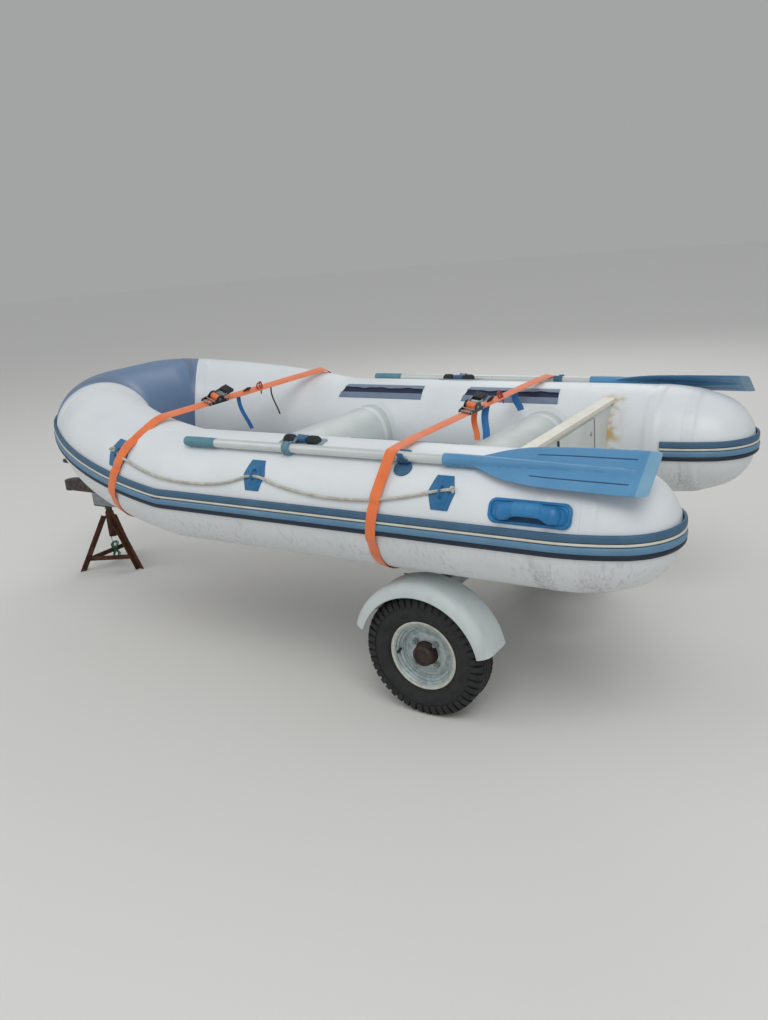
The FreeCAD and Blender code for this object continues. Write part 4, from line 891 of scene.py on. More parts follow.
def finished(name: str, bm: Mesh, finishes: Sequence[Finish], replaces: Sequence[str] = (),
             body: str = "root", sharp: float = 38.0) -> bpy.types.Object:
    """Close a mesh, dress it and seat it on its body.

    Args:
        name: The piece's name.
        bm: Its mesh, which is freed.
        finishes: Its finishes, in the order of its material numbers.
        replaces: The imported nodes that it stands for.
        body: The body that it rides on.
        sharp: Edges that turn by more degrees than this stay crisp.

    Returns:
        The piece's object.
    """
    bmesh.ops.remove_doubles(bm, verts=bm.verts, dist=2e-6)
    bmesh.ops.recalc_face_normals(bm, faces=bm.faces)
    mesh = bpy.data.meshes.new(name)
    bm.to_mesh(mesh)
    bm.free()
    for finish in finishes:
        mesh.materials.append(finish.material())
    mesh.shade_smooth()
    mesh.set_sharp_from_angle(angle=math.radians(sharp))
    made = placed(name, mesh)
    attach(made, body)
    if replaces:
        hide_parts(*replaces)
    LOG.info("%s: %d faces", name, len(mesh.polygons))
    return made


@dataclass(frozen=True)
class BuoyancyTubes:
    """The two side tubes with their stern cones, and the bow tube between their seams."""

    sides: int = 96
    ring_step: float = 0.016
    tape_width: float = 0.042
    tape_thickness: float = 0.0009
    cone_seam_share: float = 0.62
    seam_gap: float = 0.01
    side_seam: float = 0.03
    bow_seam: float = 0.045
    # A gathered seam: how far its folds reach along the tube, and how high they stand.
    gather_reach: float = 0.040
    fold: float = 0.0010
    swell: float = 0.0022
    folds: int = 46

    def taped(self, along: float, seams: Sequence[float]) -> bool:
        """Whether a place along a tube lies under a seam's tape."""
        return any(abs(along - seam) < self.tape_width / 2 for seam in seams)

    def stations(self, length: float, seams: Sequence[float]) -> list[float]:
        """Places for the rings, with a close pair at each edge of a tape.

        Args:
            length: The tube's length.
            seams: The middle of each tape.

        Returns:
            The places in order.
        """
        count = int(length / self.ring_step)
        places = {round(length * i / count, 5) for i in range(count + 1)}
        for seam in seams:
            for side in (-1, 1):
                edge = seam + side * self.tape_width / 2
                places = {p for p in places if abs(p - edge) > 0.004}
                places |= {edge - 0.0006, edge + 0.0006}
        return sorted(p for p in places if 0 <= p <= length)

    def pucker(self, along: float, angle: float, seams: Sequence[float]) -> float:
        """How far a gathered seam lifts or sinks the skin beside it.

        Args:
            along: The place along the tube.
            angle: The turn round it in radians, outboard of the top.
            seams: The gathered seams.

        Returns:
            The lift in metres.
        """
        lift = 0.0
        for seam in seams:
            near = math.exp(-((along - seam) / self.gather_reach) ** 2)
            gather = noise.noise(Vector((math.cos(angle) * 9, math.sin(angle) * 9, seam * 7)))
            fine = math.sin(angle * self.folds + 3.5 * gather)
            below = 0.45 + 0.55 * max(0.0, -math.cos(angle))
            lift += near * below * (self.fold * fine + self.swell * gather)
        return lift

    def skin(self, line: CentreLine, seams: Sequence[float], gathers: Sequence[float],
             radius: Callable[[float], float]) -> Mesh:
        """Sweep one tube's skin along its axis.

        Args:
            line: The tube's axis.
            seams: The middles of its tapes.
            gathers: The seams whose fabric is gathered.
            radius: The radius at a place along it.

        Returns:
            The skin, with tape faces as material 1.
        """
        bm = bmesh.new()
        places = self.stations(line.length, seams)
        frames = []
        for place in places:
            extra = self.tape_thickness if self.taped(place, seams) else 0.0
            frames.append(sized(line.at(place), max(0.0008, radius(place) + extra)))
        loft(bm, ring(1.0, self.sides), frames, paint=lambda middle, step: int(
            self.taped((places[step] + places[step + 1]) / 2, seams)))
        count = self.sides
        bm.verts.ensure_lookup_table()
        for index, place in enumerate(places):
            frame = line.at(place)
            back = frame.inverted()
            for vert in bm.verts[index * count:(index + 1) * count]:
                local = back @ vert.co
                angle = math.atan2(local.y, local.z)
                lift = self.pucker(place, angle, gathers)
                out = Vector((0, math.sin(angle), math.cos(angle)))
                vert.co = frame @ (local + out * lift)
        return bm

    def build(self) -> None:
        """Build the three tubes."""
        cone = TUBE.cone_length
        gathers = (self.cone_seam_share * cone, cone + self.seam_gap)
        seams = (*gathers, LINES.port.length - self.side_seam)

        def size(along: float) -> float:
            """The port tube's radius along it."""
            return TUBE.cone_size(cone - along)

        for name, flip in (("port_tube", 1), ("starboard_tube", -1)):
            bm = self.skin(LINES.port, seams, gathers, size)
            bmesh.ops.scale(bm, vec=(1, flip, 1), verts=bm.verts)
            finished(name + "_skin", bm, (TUBE_FABRIC, WHITE_TAPE), (name,))
        length = LINES.bow.length
        bm = self.skin(LINES.bow, (self.bow_seam, length - self.bow_seam), (),
                       lambda along: TUBE.radius)
        finished("bow_tube_skin", bm, (BOW_FABRIC, BLUE_TAPE), ("bow_tube",))


@dataclass(frozen=True)
class RubbingStrake:
    """The extruded strake, round each stern cone from inboard, along the sides and the bow."""

    # Columns: out from the skin, up from its middle, in millimetres, from the lower edge up.
    section: Rows = (
        (0.4, -35.0), (3.0, -34.6), (3.6, -32.5), (6.0, -31.5), (7.6, -29.0), (8.2, -26.0),
        (7.8, -22.0), (6.4, -19.5), (8.0, -18.2), (9.4, -14.0), (10.0, -9.0), (9.6, -4.0),
        (8.0, 0.2), (5.0, 1.5), (5.0, 3.5), (7.6, 4.6), (8.8, 7.5), (7.6, 10.4), (5.0, 11.5),
        (5.0, 13.5), (7.8, 14.6), (8.8, 19.0), (9.0, 24.0), (8.6, 30.0), (7.4, 33.6), (5.6, 35.0),
        (0.4, 35.0),
    )
    # Columns: upper limit of the strip in millimetres, material number. Material 2 is painted
    # shade, on the underside and in the two grooves.
    strips: tuple[tuple[float, int], ...] = (
        (-18.4, 2), (1.2, 1), (3.6, 2), (11.4, 3), (13.6, 2), (40.0, 0))
    step: float = 0.022
    cone_step: float = 0.012
    inboard_turn: float = 17.0

    def frames(self) -> list[Matrix]:
        """Frames on the skin from the port inboard end to the middle of the bow.

        Returns:
            The frames, in order.
        """
        start = Vector((AXLE_X + TUBE.stern, TUBE.side + TUBE.radius, TUBE.height))
        aft = CentreLine(Matrix.Translation(start) @ turned(180, "Z"))
        towards = aft.turn(TUBE.cone_radius, TUBE.cone_angle, -PORT)
        towards = aft.turn(TUBE.tip_radius, 180 - 2 * TUBE.cone_angle, towards)
        aft.turn(TUBE.cone_radius, self.inboard_turn, towards)
        half_turn = turned(180, "Z")
        count = int(aft.length / self.cone_step)
        frames = [aft.at(aft.length * i / count) @ half_turn for i in range(count, 0, -1)]
        out = shift(0, TUBE.radius, 0)
        for line, first, last in ((LINES.port, TUBE.cone_length, LINES.port.length),
                                  (LINES.bow, 0.0, LINES.bow.length / 2)):
            count = int((last - first) / self.step)
            frames += [line.at(first + (last - first) * i / count) @ out
                       for i in range(0 if line is LINES.port else 1, count + 1)]
        return frames

    def paint(self, middle: Vector, _: int) -> int:
        """The strip that a face lies in."""
        return next(number for limit, number in self.strips if middle.z * 1000 < limit)

    def build(self) -> None:
        """Build the strake."""
        bm = bmesh.new()
        outline = [(out / 1000, up / 1000) for out, up in self.section]
        loft(bm, outline, self.frames(), paint=self.paint)
        ends = [face for face in bm.faces if len(face.verts) == len(outline)
                and abs(face.calc_center_median().y) < 1e-4]
        bmesh.ops.delete(bm, geom=ends, context="FACES_ONLY")
        both_sides(bm)
        finished("rubbing_strake_profile", bm,
                 (STRAKE_SLATE, STRAKE_LIGHT, STRAKE_SHADE_NAVY, STRAKE_CREAM),
                 ("rubbing_strake",), sharp=50)


@dataclass(frozen=True)
class Thwarts:
    """Two inflated thwarts between the side tubes, each with a glued collar at both ends."""

    radius: float = 0.119
    places: tuple[tuple[str, float], ...] = (("front_thwart", 0.745), ("rear_thwart", -0.030))
    collar_width: float = 0.024
    draw_in: float = 0.022
    tape_shares: tuple[float, float] = (0.80, 0.90)
    tape_thickness: float = 0.0009
    collar_lap: float = 0.003

    def reach(self, up: float, gap: float = 0.0) -> float:
        """How far from the centre line the tube's skin is at a height over its axis."""
        return TUBE.side - math.sqrt((TUBE.radius + gap) ** 2 - up ** 2)

    def taped(self, share: float) -> bool:
        """Whether a share of the half length lies under an end tape."""
        return self.tape_shares[0] < abs(share) < self.tape_shares[1]

    def body(self, x: float) -> Mesh:
        """One thwart, drawn in a little at its end seams.

        Args:
            x: Its middle, forward of the axle.

        Returns:
            The thwart, with its end tapes as material 1.
        """
        bm = bmesh.new()
        shares = [i / 36 for i in range(-36, 37)]
        frames = [sized(shift(AXLE_X + x, share, TUBE.height) @ turned(90, "Z"),
                        self.radius * (1 - self.draw_in * share ** 4)
                        + self.tape_thickness * self.taped(share)) for share in shares]
        loft(bm, ring(1.0, 72), frames, paint=lambda middle, step: int(
            self.taped((shares[step] + shares[step + 1]) / 2)))
        for vert in bm.verts:
            vert.co.y *= self.reach(min(0.118, abs(vert.co.z - TUBE.height)), 0.0005)
        return bm

    def collar(self, x: float) -> Mesh:
        """The tape that glues one end to the port tube.

        Args:
            x: The thwart's middle, forward of the axle.

        Returns:
            The port collar.
        """
        bm = bmesh.new()
        points, out = [], []
        half = self.collar_width / 2
        reach = self.radius + half - self.collar_lap
        for share in even(72)[:-1]:
            up = reach * math.sin(FULL_TURN * share)
            side = self.reach(up, 0.0007)
            points.append(Vector((AXLE_X + x + reach * math.cos(FULL_TURN * share), side,
                                  TUBE.height + up)))
            out.append(Vector((0, side - TUBE.side, up)).normalized())
        hoop(bm, ((-half, -0.0005), (half, -0.0005), (half - 0.001, 0.0008),
                  (0.001 - half, 0.0008)), points, out)
        return bm

    def build(self) -> None:
        """Build both thwarts and their collars."""
        for name, x in self.places:
            piece = finished(name + "_inflated", self.body(x), (THWART_FABRIC, WHITE_TAPE), (name,))
        bm = bmesh.new()
        for _, x in self.places:
            joined(bm, self.collar(x))
        both_sides(bm)
        finished("thwart_collars", bm, (WHITE_TAPE,))


@dataclass(frozen=True)
class SeatRails:
    """Four slotted strips on the inboard upper face of the tubes."""

    length: float = 0.408
    width: float = 0.083
    angle: float = -32.0
    places: tuple[float, ...] = (0.721, 0.128)
    # Columns: round the tube and out of it, in millimetres.
    section: Rows = (
        (-41.5, 0.3), (-41.0, 1.9), (-38.0, 2.6), (-30.0, 3.0), (-22.0, 4.4), (-16.0, 5.2),
        (-13.5, 4.4), (-12.5, 1.3), (13.5, 1.3), (15.0, 4.8), (17.0, 5.2), (23.0, 4.4),
        (30.0, 3.0), (38.0, 2.6), (41.0, 1.9), (41.5, 0.3),
    )

    def strip(self, x: float) -> Mesh:
        """One port rail, its slot drawn wavy by the seat that slides in it.

        Args:
            x: Its middle, forward of the axle.

        Returns:
            The rail in its place, with the painted shade in its slot as material 1.
        """
        bm = bmesh.new()
        frames = [shift(self.length * (share - 0.5), 0, 0) for share in even(90)]
        outline = [(around / 1000, out / 1000) for around, out in self.section]
        # The slot's floor is material 1: painted shade under the upper flap
        loft(bm, outline, frames,
             paint=lambda middle, _: int(abs(middle.y) < 0.0146 and middle.z < 0.0046))
        for vert in bm.verts:
            along, around, out = vert.co
            slotted = max(0.0, 1 - abs(around - 0.015) / 0.022)
            wave = 0.0028 * math.sin(along * 41 + 0.6) + 0.0014 * math.sin(along * 97 + 1.3)
            taper = 0.014 * (around / self.width + 0.5)
            shrink = 1 - 2 * taper / self.length
            vert.co = (along * shrink, around + wave * slotted, out)
        LINES.wrap(bm, x, self.angle)
        return bm

    def build(self) -> None:
        """Build the four rails."""
        bm = bmesh.new()
        for x in self.places:
            joined(bm, self.strip(x))
        both_sides(bm)
        finished("slotted_seat_rails", bm, (RAIL_SLATE, RAIL_SLOT_SHADE), ("seat_rails",))


@dataclass(frozen=True)
class RopePatches:
    """Six glued patches, level at top and bottom, each with a raised eye for the grab rope."""

    # Columns: place, turn round the tube.
    places: Rows = ((1.165, 59.0), (0.545, 57.0), (-0.137, 57.0))
    length: float = 0.086
    height: float = 0.104
    level: float = 0.62
    thickness: float = 0.0025
    eye_radius: float = 0.017
    eye_wire: float = 0.0036
    inner_share: float = 0.62
    inner_rise: float = 0.0016
    boss_radii: tuple[float, float] = (0.021, 0.016)

    def patch(self) -> Mesh:
        """One patch, drawn flat.

        Returns:
            The patch with its raised middle, its boss and its eye.
        """
        half, tall = self.length / 2, self.height / 2
        near = half * self.level
        outline = ((near, -tall), (half, 0), (near, tall), (-near, tall), (-half, 0),
                   (-near, -tall))
        bm = sliced(plate(outline, self.thickness, 0.0012))
        inner = [(x * self.inner_share, y * self.inner_share) for x, y in outline]
        joined(bm, sliced(plate(inner, self.thickness + self.inner_rise, 0.0009)))
        joined(bm, sliced(stub(*self.boss_radii, 0.004, shift(0, 0, 0.0045))))
        points = [Vector((0, self.eye_radius * math.cos(math.pi * share),
                          0.002 + self.eye_radius * math.sin(math.pi * share)))
                  for share in even(20)]
        cord(bm, ring(self.eye_wire, 14), points, FORWARD)
        return bm

    def build(self) -> None:
        """Build the six patches."""
        bm = bmesh.new()
        for x, angle in self.places:
            part = self.patch()
            LINES.wrap(part, x, angle)
            joined(bm, part)
        both_sides(bm)
        finished("glued_rope_patches", bm, (PATCH_BLUE,), ("rope_patches",))


@dataclass(frozen=True)
class GrabRopes:
    """The grab rope of each side: three strands laid together, knotted at both ends."""

    # The port rope's points from bow to stern, forward of the axle, to port and up.
    route: Rows = (
        (1.205, 0.664, 0.816), (1.165, 0.676, 0.802), (1.095, 0.689, 0.777),
        (1.000, 0.699, 0.748), (0.880, 0.704, 0.733), (0.760, 0.704, 0.732),
        (0.650, 0.699, 0.744), (0.545, 0.682, 0.779), (0.450, 0.695, 0.753),
        (0.340, 0.702, 0.738), (0.225, 0.704, 0.730), (0.110, 0.703, 0.735),
        (0.000, 0.697, 0.750), (-0.080, 0.687, 0.768), (-0.137, 0.680, 0.780),
        (-0.172, 0.677, 0.785),
    )
    length: float = 1.407
    radius: float = 0.005
    lay: float = 0.034
    knot_size: float = 0.0028
    knot_depth: float = 0.0032

    def centreline(self, side: int) -> list[Vector]:
        """Points read from the route's smooth spline.

        Args:
            side: 1 for port, -1 for starboard.

        Returns:
            The points, about 4 mm apart.
        """
        curve = bpy.data.curves.new("route", "CURVE")
        curve.dimensions = "3D"
        curve.resolution_u = 24
        spline = curve.splines.new("NURBS")
        spline.points.add(len(self.route) - 1)
        for point, (x, y, z) in zip(spline.points, self.route):
            point.co = (x + AXLE_X, y * side, z, 1)
        spline.order_u = 3
        spline.use_endpoint_u = True
        holder = placed("route", curve)
        bpy.context.view_layer.update()
        mesh = bpy.data.meshes.new_from_object(
            holder.evaluated_get(bpy.context.evaluated_depsgraph_get()))
        points = [vert.co.copy() for vert in mesh.vertices]
        bpy.data.objects.remove(holder)
        bpy.data.meshes.remove(mesh)
        return points

    def laid(self, points: Sequence[Vector]) -> Mesh:
        """The three strands' outer shape, twisted along points.

        Args:
            points: The rope's path.

        Returns:
            The rope.
        """
        bm = bmesh.new()
        steps = 24
        outline = []
        for index in range(steps):
            angle = FULL_TURN * index / steps
            size = self.radius * (0.80 + 0.20 * abs(math.cos(1.5 * angle)) ** 0.8)
            outline.append((size * math.sin(angle), size * math.cos(angle)))
        frames, run = [], 0.0
        flat = upright(points, [UP] * len(points))
        for index, frame in enumerate(flat):
            if index:
                run += (points[index] - points[index - 1]).length
            frames.append(frame @ Matrix.Rotation(run / self.lay * FULL_TURN, 4, "X"))
        loft(bm, outline, frames)
        return bm

    def knot(self, at: Vector, ahead: Vector) -> Mesh:
        """A tight overhand knot on the rope's end.

        Args:
            at: The rope's end.
            ahead: The rope's direction there.

        Returns:
            The knot.
        """
        bm = bmesh.new()
        points = []
        for angle in (FULL_TURN * share for share in even(60)[:-1]):
            points.append(Vector((
                self.knot_depth * math.sin(3 * angle),
                self.knot_size * (math.sin(angle) + 2 * math.sin(2 * angle)),
                self.knot_size * (math.cos(angle) - 2 * math.cos(2 * angle)))))
        hoop(bm, ring(self.radius * 0.72, 12), points, FORWARD)
        turn = FORWARD.rotation_difference(ahead).to_matrix().to_4x4()
        bmesh.ops.transform(bm, matrix=Matrix.Translation(at) @ turn, verts=bm.verts)
        return bm

    def build(self) -> None:
        """Build both ropes with their knots."""
        for name, side in (("port_grab_rope", 1), ("starboard_grab_rope", -1)):
            points = self.centreline(side)
            rope = finished(name + "_laid", self.laid(points), (ROPE,), (name,), sharp=60)
            knots = bmesh.new()
            joined(knots, self.knot(points[0], (points[0] - points[1]).normalized()))
            joined(knots, self.knot(points[-1], (points[-1] - points[-2]).normalized()))
            ends = finished(name + "_knots", knots, (ROPE,), sharp=60)
            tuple(points[0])


@dataclass(frozen=True)
class CarryHandles:
    """Two carry handles: a round cornered base with a raised rim, and a stout bowed grip."""

    x: float = -0.408
    angle: float = 67.0
    length: float = 0.240
    height: float = 0.070
    corner: float = 0.024
    thickness: float = 0.0035
    rim_inset: float = 0.012
    rim_wire: float = 0.0040
    foot_place: float = 0.082
    foot_radii: tuple[float, float] = (0.027, 0.019)
    foot_height: float = 0.010
    grip_length: float = 0.130
    grip_bend: float = 0.018
    grip_lean: float = 84.0
    grip_stem: float = 0.004
    grip_bow: float = 0.009
    ribs: int = 48
    rib_height: float = 0.0004

    def grip(self) -> Mesh:
        """The grip: it rises from both feet, and its broad middle is bowed out of the tube.

        Returns:
            The grip, with its ribbed face as material 1.
        """
        bm = bmesh.new()
        line = CentreLine(shift(-0.084, 0.003, self.thickness) @ turned(-self.grip_lean, "Y"))
        line.ahead(self.grip_stem)
        towards = line.turn(self.grip_bend, self.grip_lean, line.end.col[2].xyz * -1)
        line.ahead(self.grip_length)
        line.turn(self.grip_bend, self.grip_lean, towards)
        line.ahead(self.grip_stem)
        frames = []
        for share in even(240):
            middle = math.exp(-((share - 0.5) / 0.27) ** 6)
            rib = (self.rib_height * math.cos(share * FULL_TURN * self.ribs)
                   * (abs(share - 0.5) < 0.20))
            frames.append(sized(shift(0, -self.grip_bow * middle, 0) @ line.at(line.length * share),
                                0.0210 - 0.0030 * middle + rib, 0.0100 + 0.0020 * middle + rib))
        loft(bm, ring(1.0, 28), frames, paint=lambda middle, step: int(
            71 < step < 168 and middle.z > 0.3))
        return bm

    def build(self) -> None:
        """Build both handles."""
        bm = sliced(plate(rounded(self.length, self.height, self.corner), self.thickness, 0.0015))
        rim = rounded(self.length - self.rim_inset, self.height - self.rim_inset,
                      self.corner - 0.004)
        hoop(bm, ring(self.rim_wire, 12), [Vector((x, y, 0.0034)) for x, y in rim], UP)
        for side in (-1, 1):
            joined(bm, sliced(stub(*self.foot_radii, self.foot_height,
                                   shift(side * self.foot_place, 0.002, 0.0075))))
        # A thin dark plate under the grip: painted shade for the hand's hollow
        well = plate(rounded(0.112, 0.024, 0.008), 0.0006)
        joined(bm, sliced(well), 2, shift(0, 0.014, 0.0033))
        joined(bm, self.grip())
        LINES.wrap(bm, self.x, self.angle)
        both_sides(bm)
        finished("moulded_carry_handles", bm, (HANDLE_BLUE, GRIP_BLUE, HAND_HOLLOW_SHADE),
                 ("carry_handles",))


@dataclass(frozen=True)
class OarPlace:
    """Where an oar lies on its tube."""

    angle: float = 30.0
    lift: float = 0.0193
    shaft_radius: float = 0.015
    shaft_front: float = 0.745
    blade_front: float = -0.122
    blade_rear: float = -0.722

    def frame(self, x: float) -> Matrix:
        """A frame on the oar's axis, with Z out of the tube."""
        return LINES.skin(x, self.angle, self.lift)


OAR = OarPlace()


@dataclass(frozen=True)
class Oars:
    """The moulded blades and the ribbed grips of the two oars."""

    grip_length: float = 0.140
    half_width: float = 0.0825
    # Columns: share of the blade's length from its socket, half width, spine's radius, in mm.
    stations: Rows = (
        (0.000, 19.0, 19.0), (0.040, 19.0, 19.0), (0.120, 19.0, 19.0), (0.170, 20.0, 18.6),
        (0.220, 33.0, 18.0), (0.280, 49.0, 17.2), (0.340, 60.5, 16.2), (0.400, 68.5, 15.2),
        (0.460, 73.5, 14.2), (0.540, 77.5, 13.0), (0.640, 80.0, 11.6), (0.760, 81.5, 9.8),
        (0.860, 82.3, 8.0), (0.900, 82.5, 6.4), (0.930, 82.5, 3.4), (0.965, 82.3, 2.6),
        (0.985, 80.8, 2.4), (0.995, 77.5, 2.1), (1.000, 73.0, 1.6),
    )
    # Shares of the half width at which the section has a point, and the two that a groove holds.
    columns: tuple[float, ...] = (
        0.0, 0.04, 0.08, 0.12, 0.16, 0.20, 0.24, 0.28, 0.34, 0.42, 0.50, 0.520, 0.528,
        0.572, 0.580, 0.65, 0.75, 0.85, 0.92, 0.965, 0.99, 1.0)
    groove: tuple[float, float] = (0.528, 0.572)
    tip_share: float = 0.945
    groove_shares: tuple[float, float] = (0.44, 0.915)
    groove_depth: float = 0.0016
    grip_radius: float = 0.0163
    ridge: float = 0.0007
    ridges: int = 15

    def section(self, half: float, spine: float, groove: float) -> list[tuple[float, float]]:
        """The blade's outline across at one station.

        Args:
            half: Half its width.
            spine: Radius of the round spine on it.
            groove: Depth of the two grooves.

        Returns:
            Points across and up: the upper face from edge to edge, then the lower one back.
        """
        skin = min(0.0026, spine)
        top = []
        for share in [-c for c in reversed(self.columns)] + list(self.columns[1:]):
            across = half * share
            up = skin * math.sqrt(max(0.0, 1 - abs(share) ** 10)) + 0.0002
            if abs(across) < spine:
                up = max(up, math.sqrt(spine ** 2 - across ** 2))
            if abs(share) in self.groove:
                up -= groove
            top.append((across, up))
        return top + [(across, -up) for across, up in reversed(top[1:-1])]

    def blade(self) -> Mesh:
        """One blade, drawn along X from its socket aft.

        Returns:
            The blade, with its grooves' painted shade as material 1 and its tip's painted light as
            2.
        """
        bm = bmesh.new()
        length = OAR.blade_front - OAR.blade_rear
        rings, shares = [], even(150)
        for share in shares:
            later = next(i for i, row in enumerate(self.stations) if row[0] >= share - 1e-9)
            low, high = self.stations[max(0, later - 1)], self.stations[later]
            part = (share - low[0]) / max(1e-9, high[0] - low[0])
            half, spine = (a + (b - a) * part for a, b in zip(low[1:], high[1:]))
            first, last = self.groove_shares
            inside = min(1.0, max(0.0, (share - first) / 0.02)) * min(
                1.0, max(0.0, (last - share) / 0.02))
            rings.append(self.section(half / 1000, spine / 1000, self.groove_depth * inside))
        frames = [shift(-length * share, 0, 0) for share in shares]
        loft(bm, rings[0], frames)
        count = len(rings[0])
        bm.verts.ensure_lookup_table()
        grooved = set()
        for index, outline in enumerate(rings):
            for vert, (across, up) in zip(bm.verts[index * count:(index + 1) * count], outline):
                vert.co.y, vert.co.z = across, up
                half = max(y for y, _ in outline)
                if 0.45 < shares[index] < 0.91 and any(
                        abs(abs(across) / half - edge) < 1e-3 for edge in self.groove):
                    grooved.add(vert)
        # Groove faces get a dark colour: painted shade for the grooves
        for face in bm.faces:
            # Tip faces get a paler colour: painted light for the light through the thin tip
            tip = face.calc_center_median().x < -length * self.tip_share
            face.material_index = 1 if all(vert in grooved for vert in face.verts) else 2 * tip
        return bm

    def grip(self) -> Mesh:
        """One grip: ribs round a sleeve with a domed end.

        Returns:
            The grip, drawn along X.
        """
        bm = bmesh.new()
        frames = []
        for share in even(112):
            ridge = self.ridge * math.cos(share * FULL_TURN * self.ridges) * (0.10 < share < 0.86)
            dome = max(0.0, (share - 0.93) / 0.07)
            size = (self.grip_radius + ridge) * math.sqrt(max(0.02, 1 - dome ** 2))
            frames.append(sized(shift(self.grip_length * share, 0, 0), size))
        loft(bm, ring(1.0, 32), frames)
        return bm

    def build(self) -> None:
        """Build the blades and the grips."""
        bm = bmesh.new()
        joined(bm, self.blade(), move=OAR.frame(OAR.blade_front))
        both_sides(bm)
        finished("moulded_oar_blades", bm, (BLADE_BLUE, BLADE_GROOVE_SHADE, BLADE_TIP_GLOW), ("oar_blades",),
                 sharp=50)
        bm = bmesh.new()
        joined(bm, self.grip(), move=OAR.frame(OAR.shaft_front + 0.0003))
        both_sides(bm)
        finished("ribbed_oar_grips", bm, (OAR_GRIP,), ("oar_grips",))


@dataclass(frozen=True)
class Rowlocks:
    """Each oar's pivot: a glued base, a ribbed rubber body, and a pinned collar on the shaft."""

    x: float = 0.430
    angle: float = 13.0
    collar_x: float = 0.441
    base_half: tuple[float, float] = (0.085, 0.031)
    base_cut: float = 0.009
    base_thickness: float = 0.0038
    rubber_ends: tuple[float, float] = (0.022, 0.071)
    rubber_half: float = 0.018
    rubber_height: float = 0.024

    def body(self) -> Mesh:
        """The base and its ribbed body, drawn flat.

        Returns:
            The base, the rubber and the cap, as materials 0, 1 and 2.
        """
        (long, wide), cut = self.base_half, self.base_cut
        outline = [(-long, cut - wide), (cut - long, -wide), (long - cut, -wide),
                   (long, cut - wide), (long, wide - cut), (long - cut, wide), (cut - long, wide),
                   (-long, wide - cut)]
        bm = sliced(plate(outline, self.base_thickness, 0.0015))
        near, far = self.rubber_ends
        half_round = [(math.cos(math.pi * share), math.sin(math.pi * share)) for share in even(16)]
        for low in (-far, near):
            frames = []
            for index, share in enumerate(even(28)):
                rib = 1.0 if (index // 2) % 2 else 0.90
                size = rib * math.sqrt(max(0.12, 1 - (2 * share - 1) ** 6))
                frames.append(sized(shift(low + (far - near) * share, 0, 0.0035),
                                    self.rubber_half * size, self.rubber_height * size - 0.003))
            part = bmesh.new()
            loft(part, half_round, frames)
            joined(bm, part, 1)
        box(bm, (-near, -0.015, 0.003), (near, 0.015, 0.021), 2, 0.004)
        return bm

    def collar(self) -> Mesh:
        """The collar on the shaft, with a lip at both ends.

        Returns:
            The collar in its place.
        """
        bm = bmesh.new()
        room = OAR.shaft_radius + 0.0003
        profile = ((-0.013, room), (-0.013, 0.0215), (-0.009, 0.0225), (-0.007, 0.0200),
                   (0.007, 0.0200), (0.009, 0.0225), (0.013, 0.0215), (0.013, room))
        spun(bm, profile, 40)
        turn = turned(-90, "Z")
        bmesh.ops.transform(bm, matrix=OAR.frame(self.collar_x) @ turn, verts=bm.verts)
        return bm

    def build(self) -> None:
        """Build both rowlocks."""
        bm = self.body()
        LINES.wrap(bm, self.x, self.angle)
        joined(bm, self.collar(), 3)
        low = LINES.skin(self.collar_x, self.angle, 0.015).translation
        high = OAR.frame(self.collar_x).translation
        along = (high - low).normalized()
        bar(bm, low, high - along * 0.017, 0.006, 4, edge=0.001)
        both_sides(bm)
        finished("ribbed_rowlocks", bm, (BASE_GREY, DARK_RUBBER_AND_GAP_SHADE, CLIP_SLATE, COLLAR_BLUE, ZINC),
                 ("rowlocks",))


@dataclass(frozen=True)
class OarClips:
    """The rear clips: an oval base with an open hook round the shaft and an upright lug."""

    x: float = 0.011
    width: float = 0.034
    base_radii: tuple[float, float] = (0.030, 0.027)
    base_drop: float = 0.008
    base_thickness: float = 0.0045
    wall: float = 0.0052
    room: float = 0.0003

    def build(self) -> None:
        """Build both clips."""
        wide, tall = self.base_radii
        outline = [(wide * math.cos(FULL_TURN * share),
                    self.base_drop + tall * math.sin(FULL_TURN * share)) for share in even(36)[:-1]]
        bm = sliced(plate(outline, self.base_thickness, 0.002))
        LINES.wrap(bm, self.x, OAR.angle + 6)
        hook = bmesh.new()
        room = OAR.shaft_radius + self.room
        arc = [math.radians(a) for a in range(-20, 221, 12)]
        outer, inner = ([(radius * math.cos(a), -radius * math.sin(a)) for a in arc]
                        for radius in (room + self.wall, room))
        frames = [shift(self.width * (share - 0.5), 0, 0) for share in even(4)]
        loft(hook, outer + inner[::-1], frames)
        box(hook, (-0.011, 0.016, 0.0), (0.011, 0.021, 0.030), 0, 0.002)
        joined(bm, hook, move=OAR.frame(self.x))
        both_sides(bm)
        finished("moulded_oar_clips", bm, (CLIP_SLATE,), ("oar_clips",))


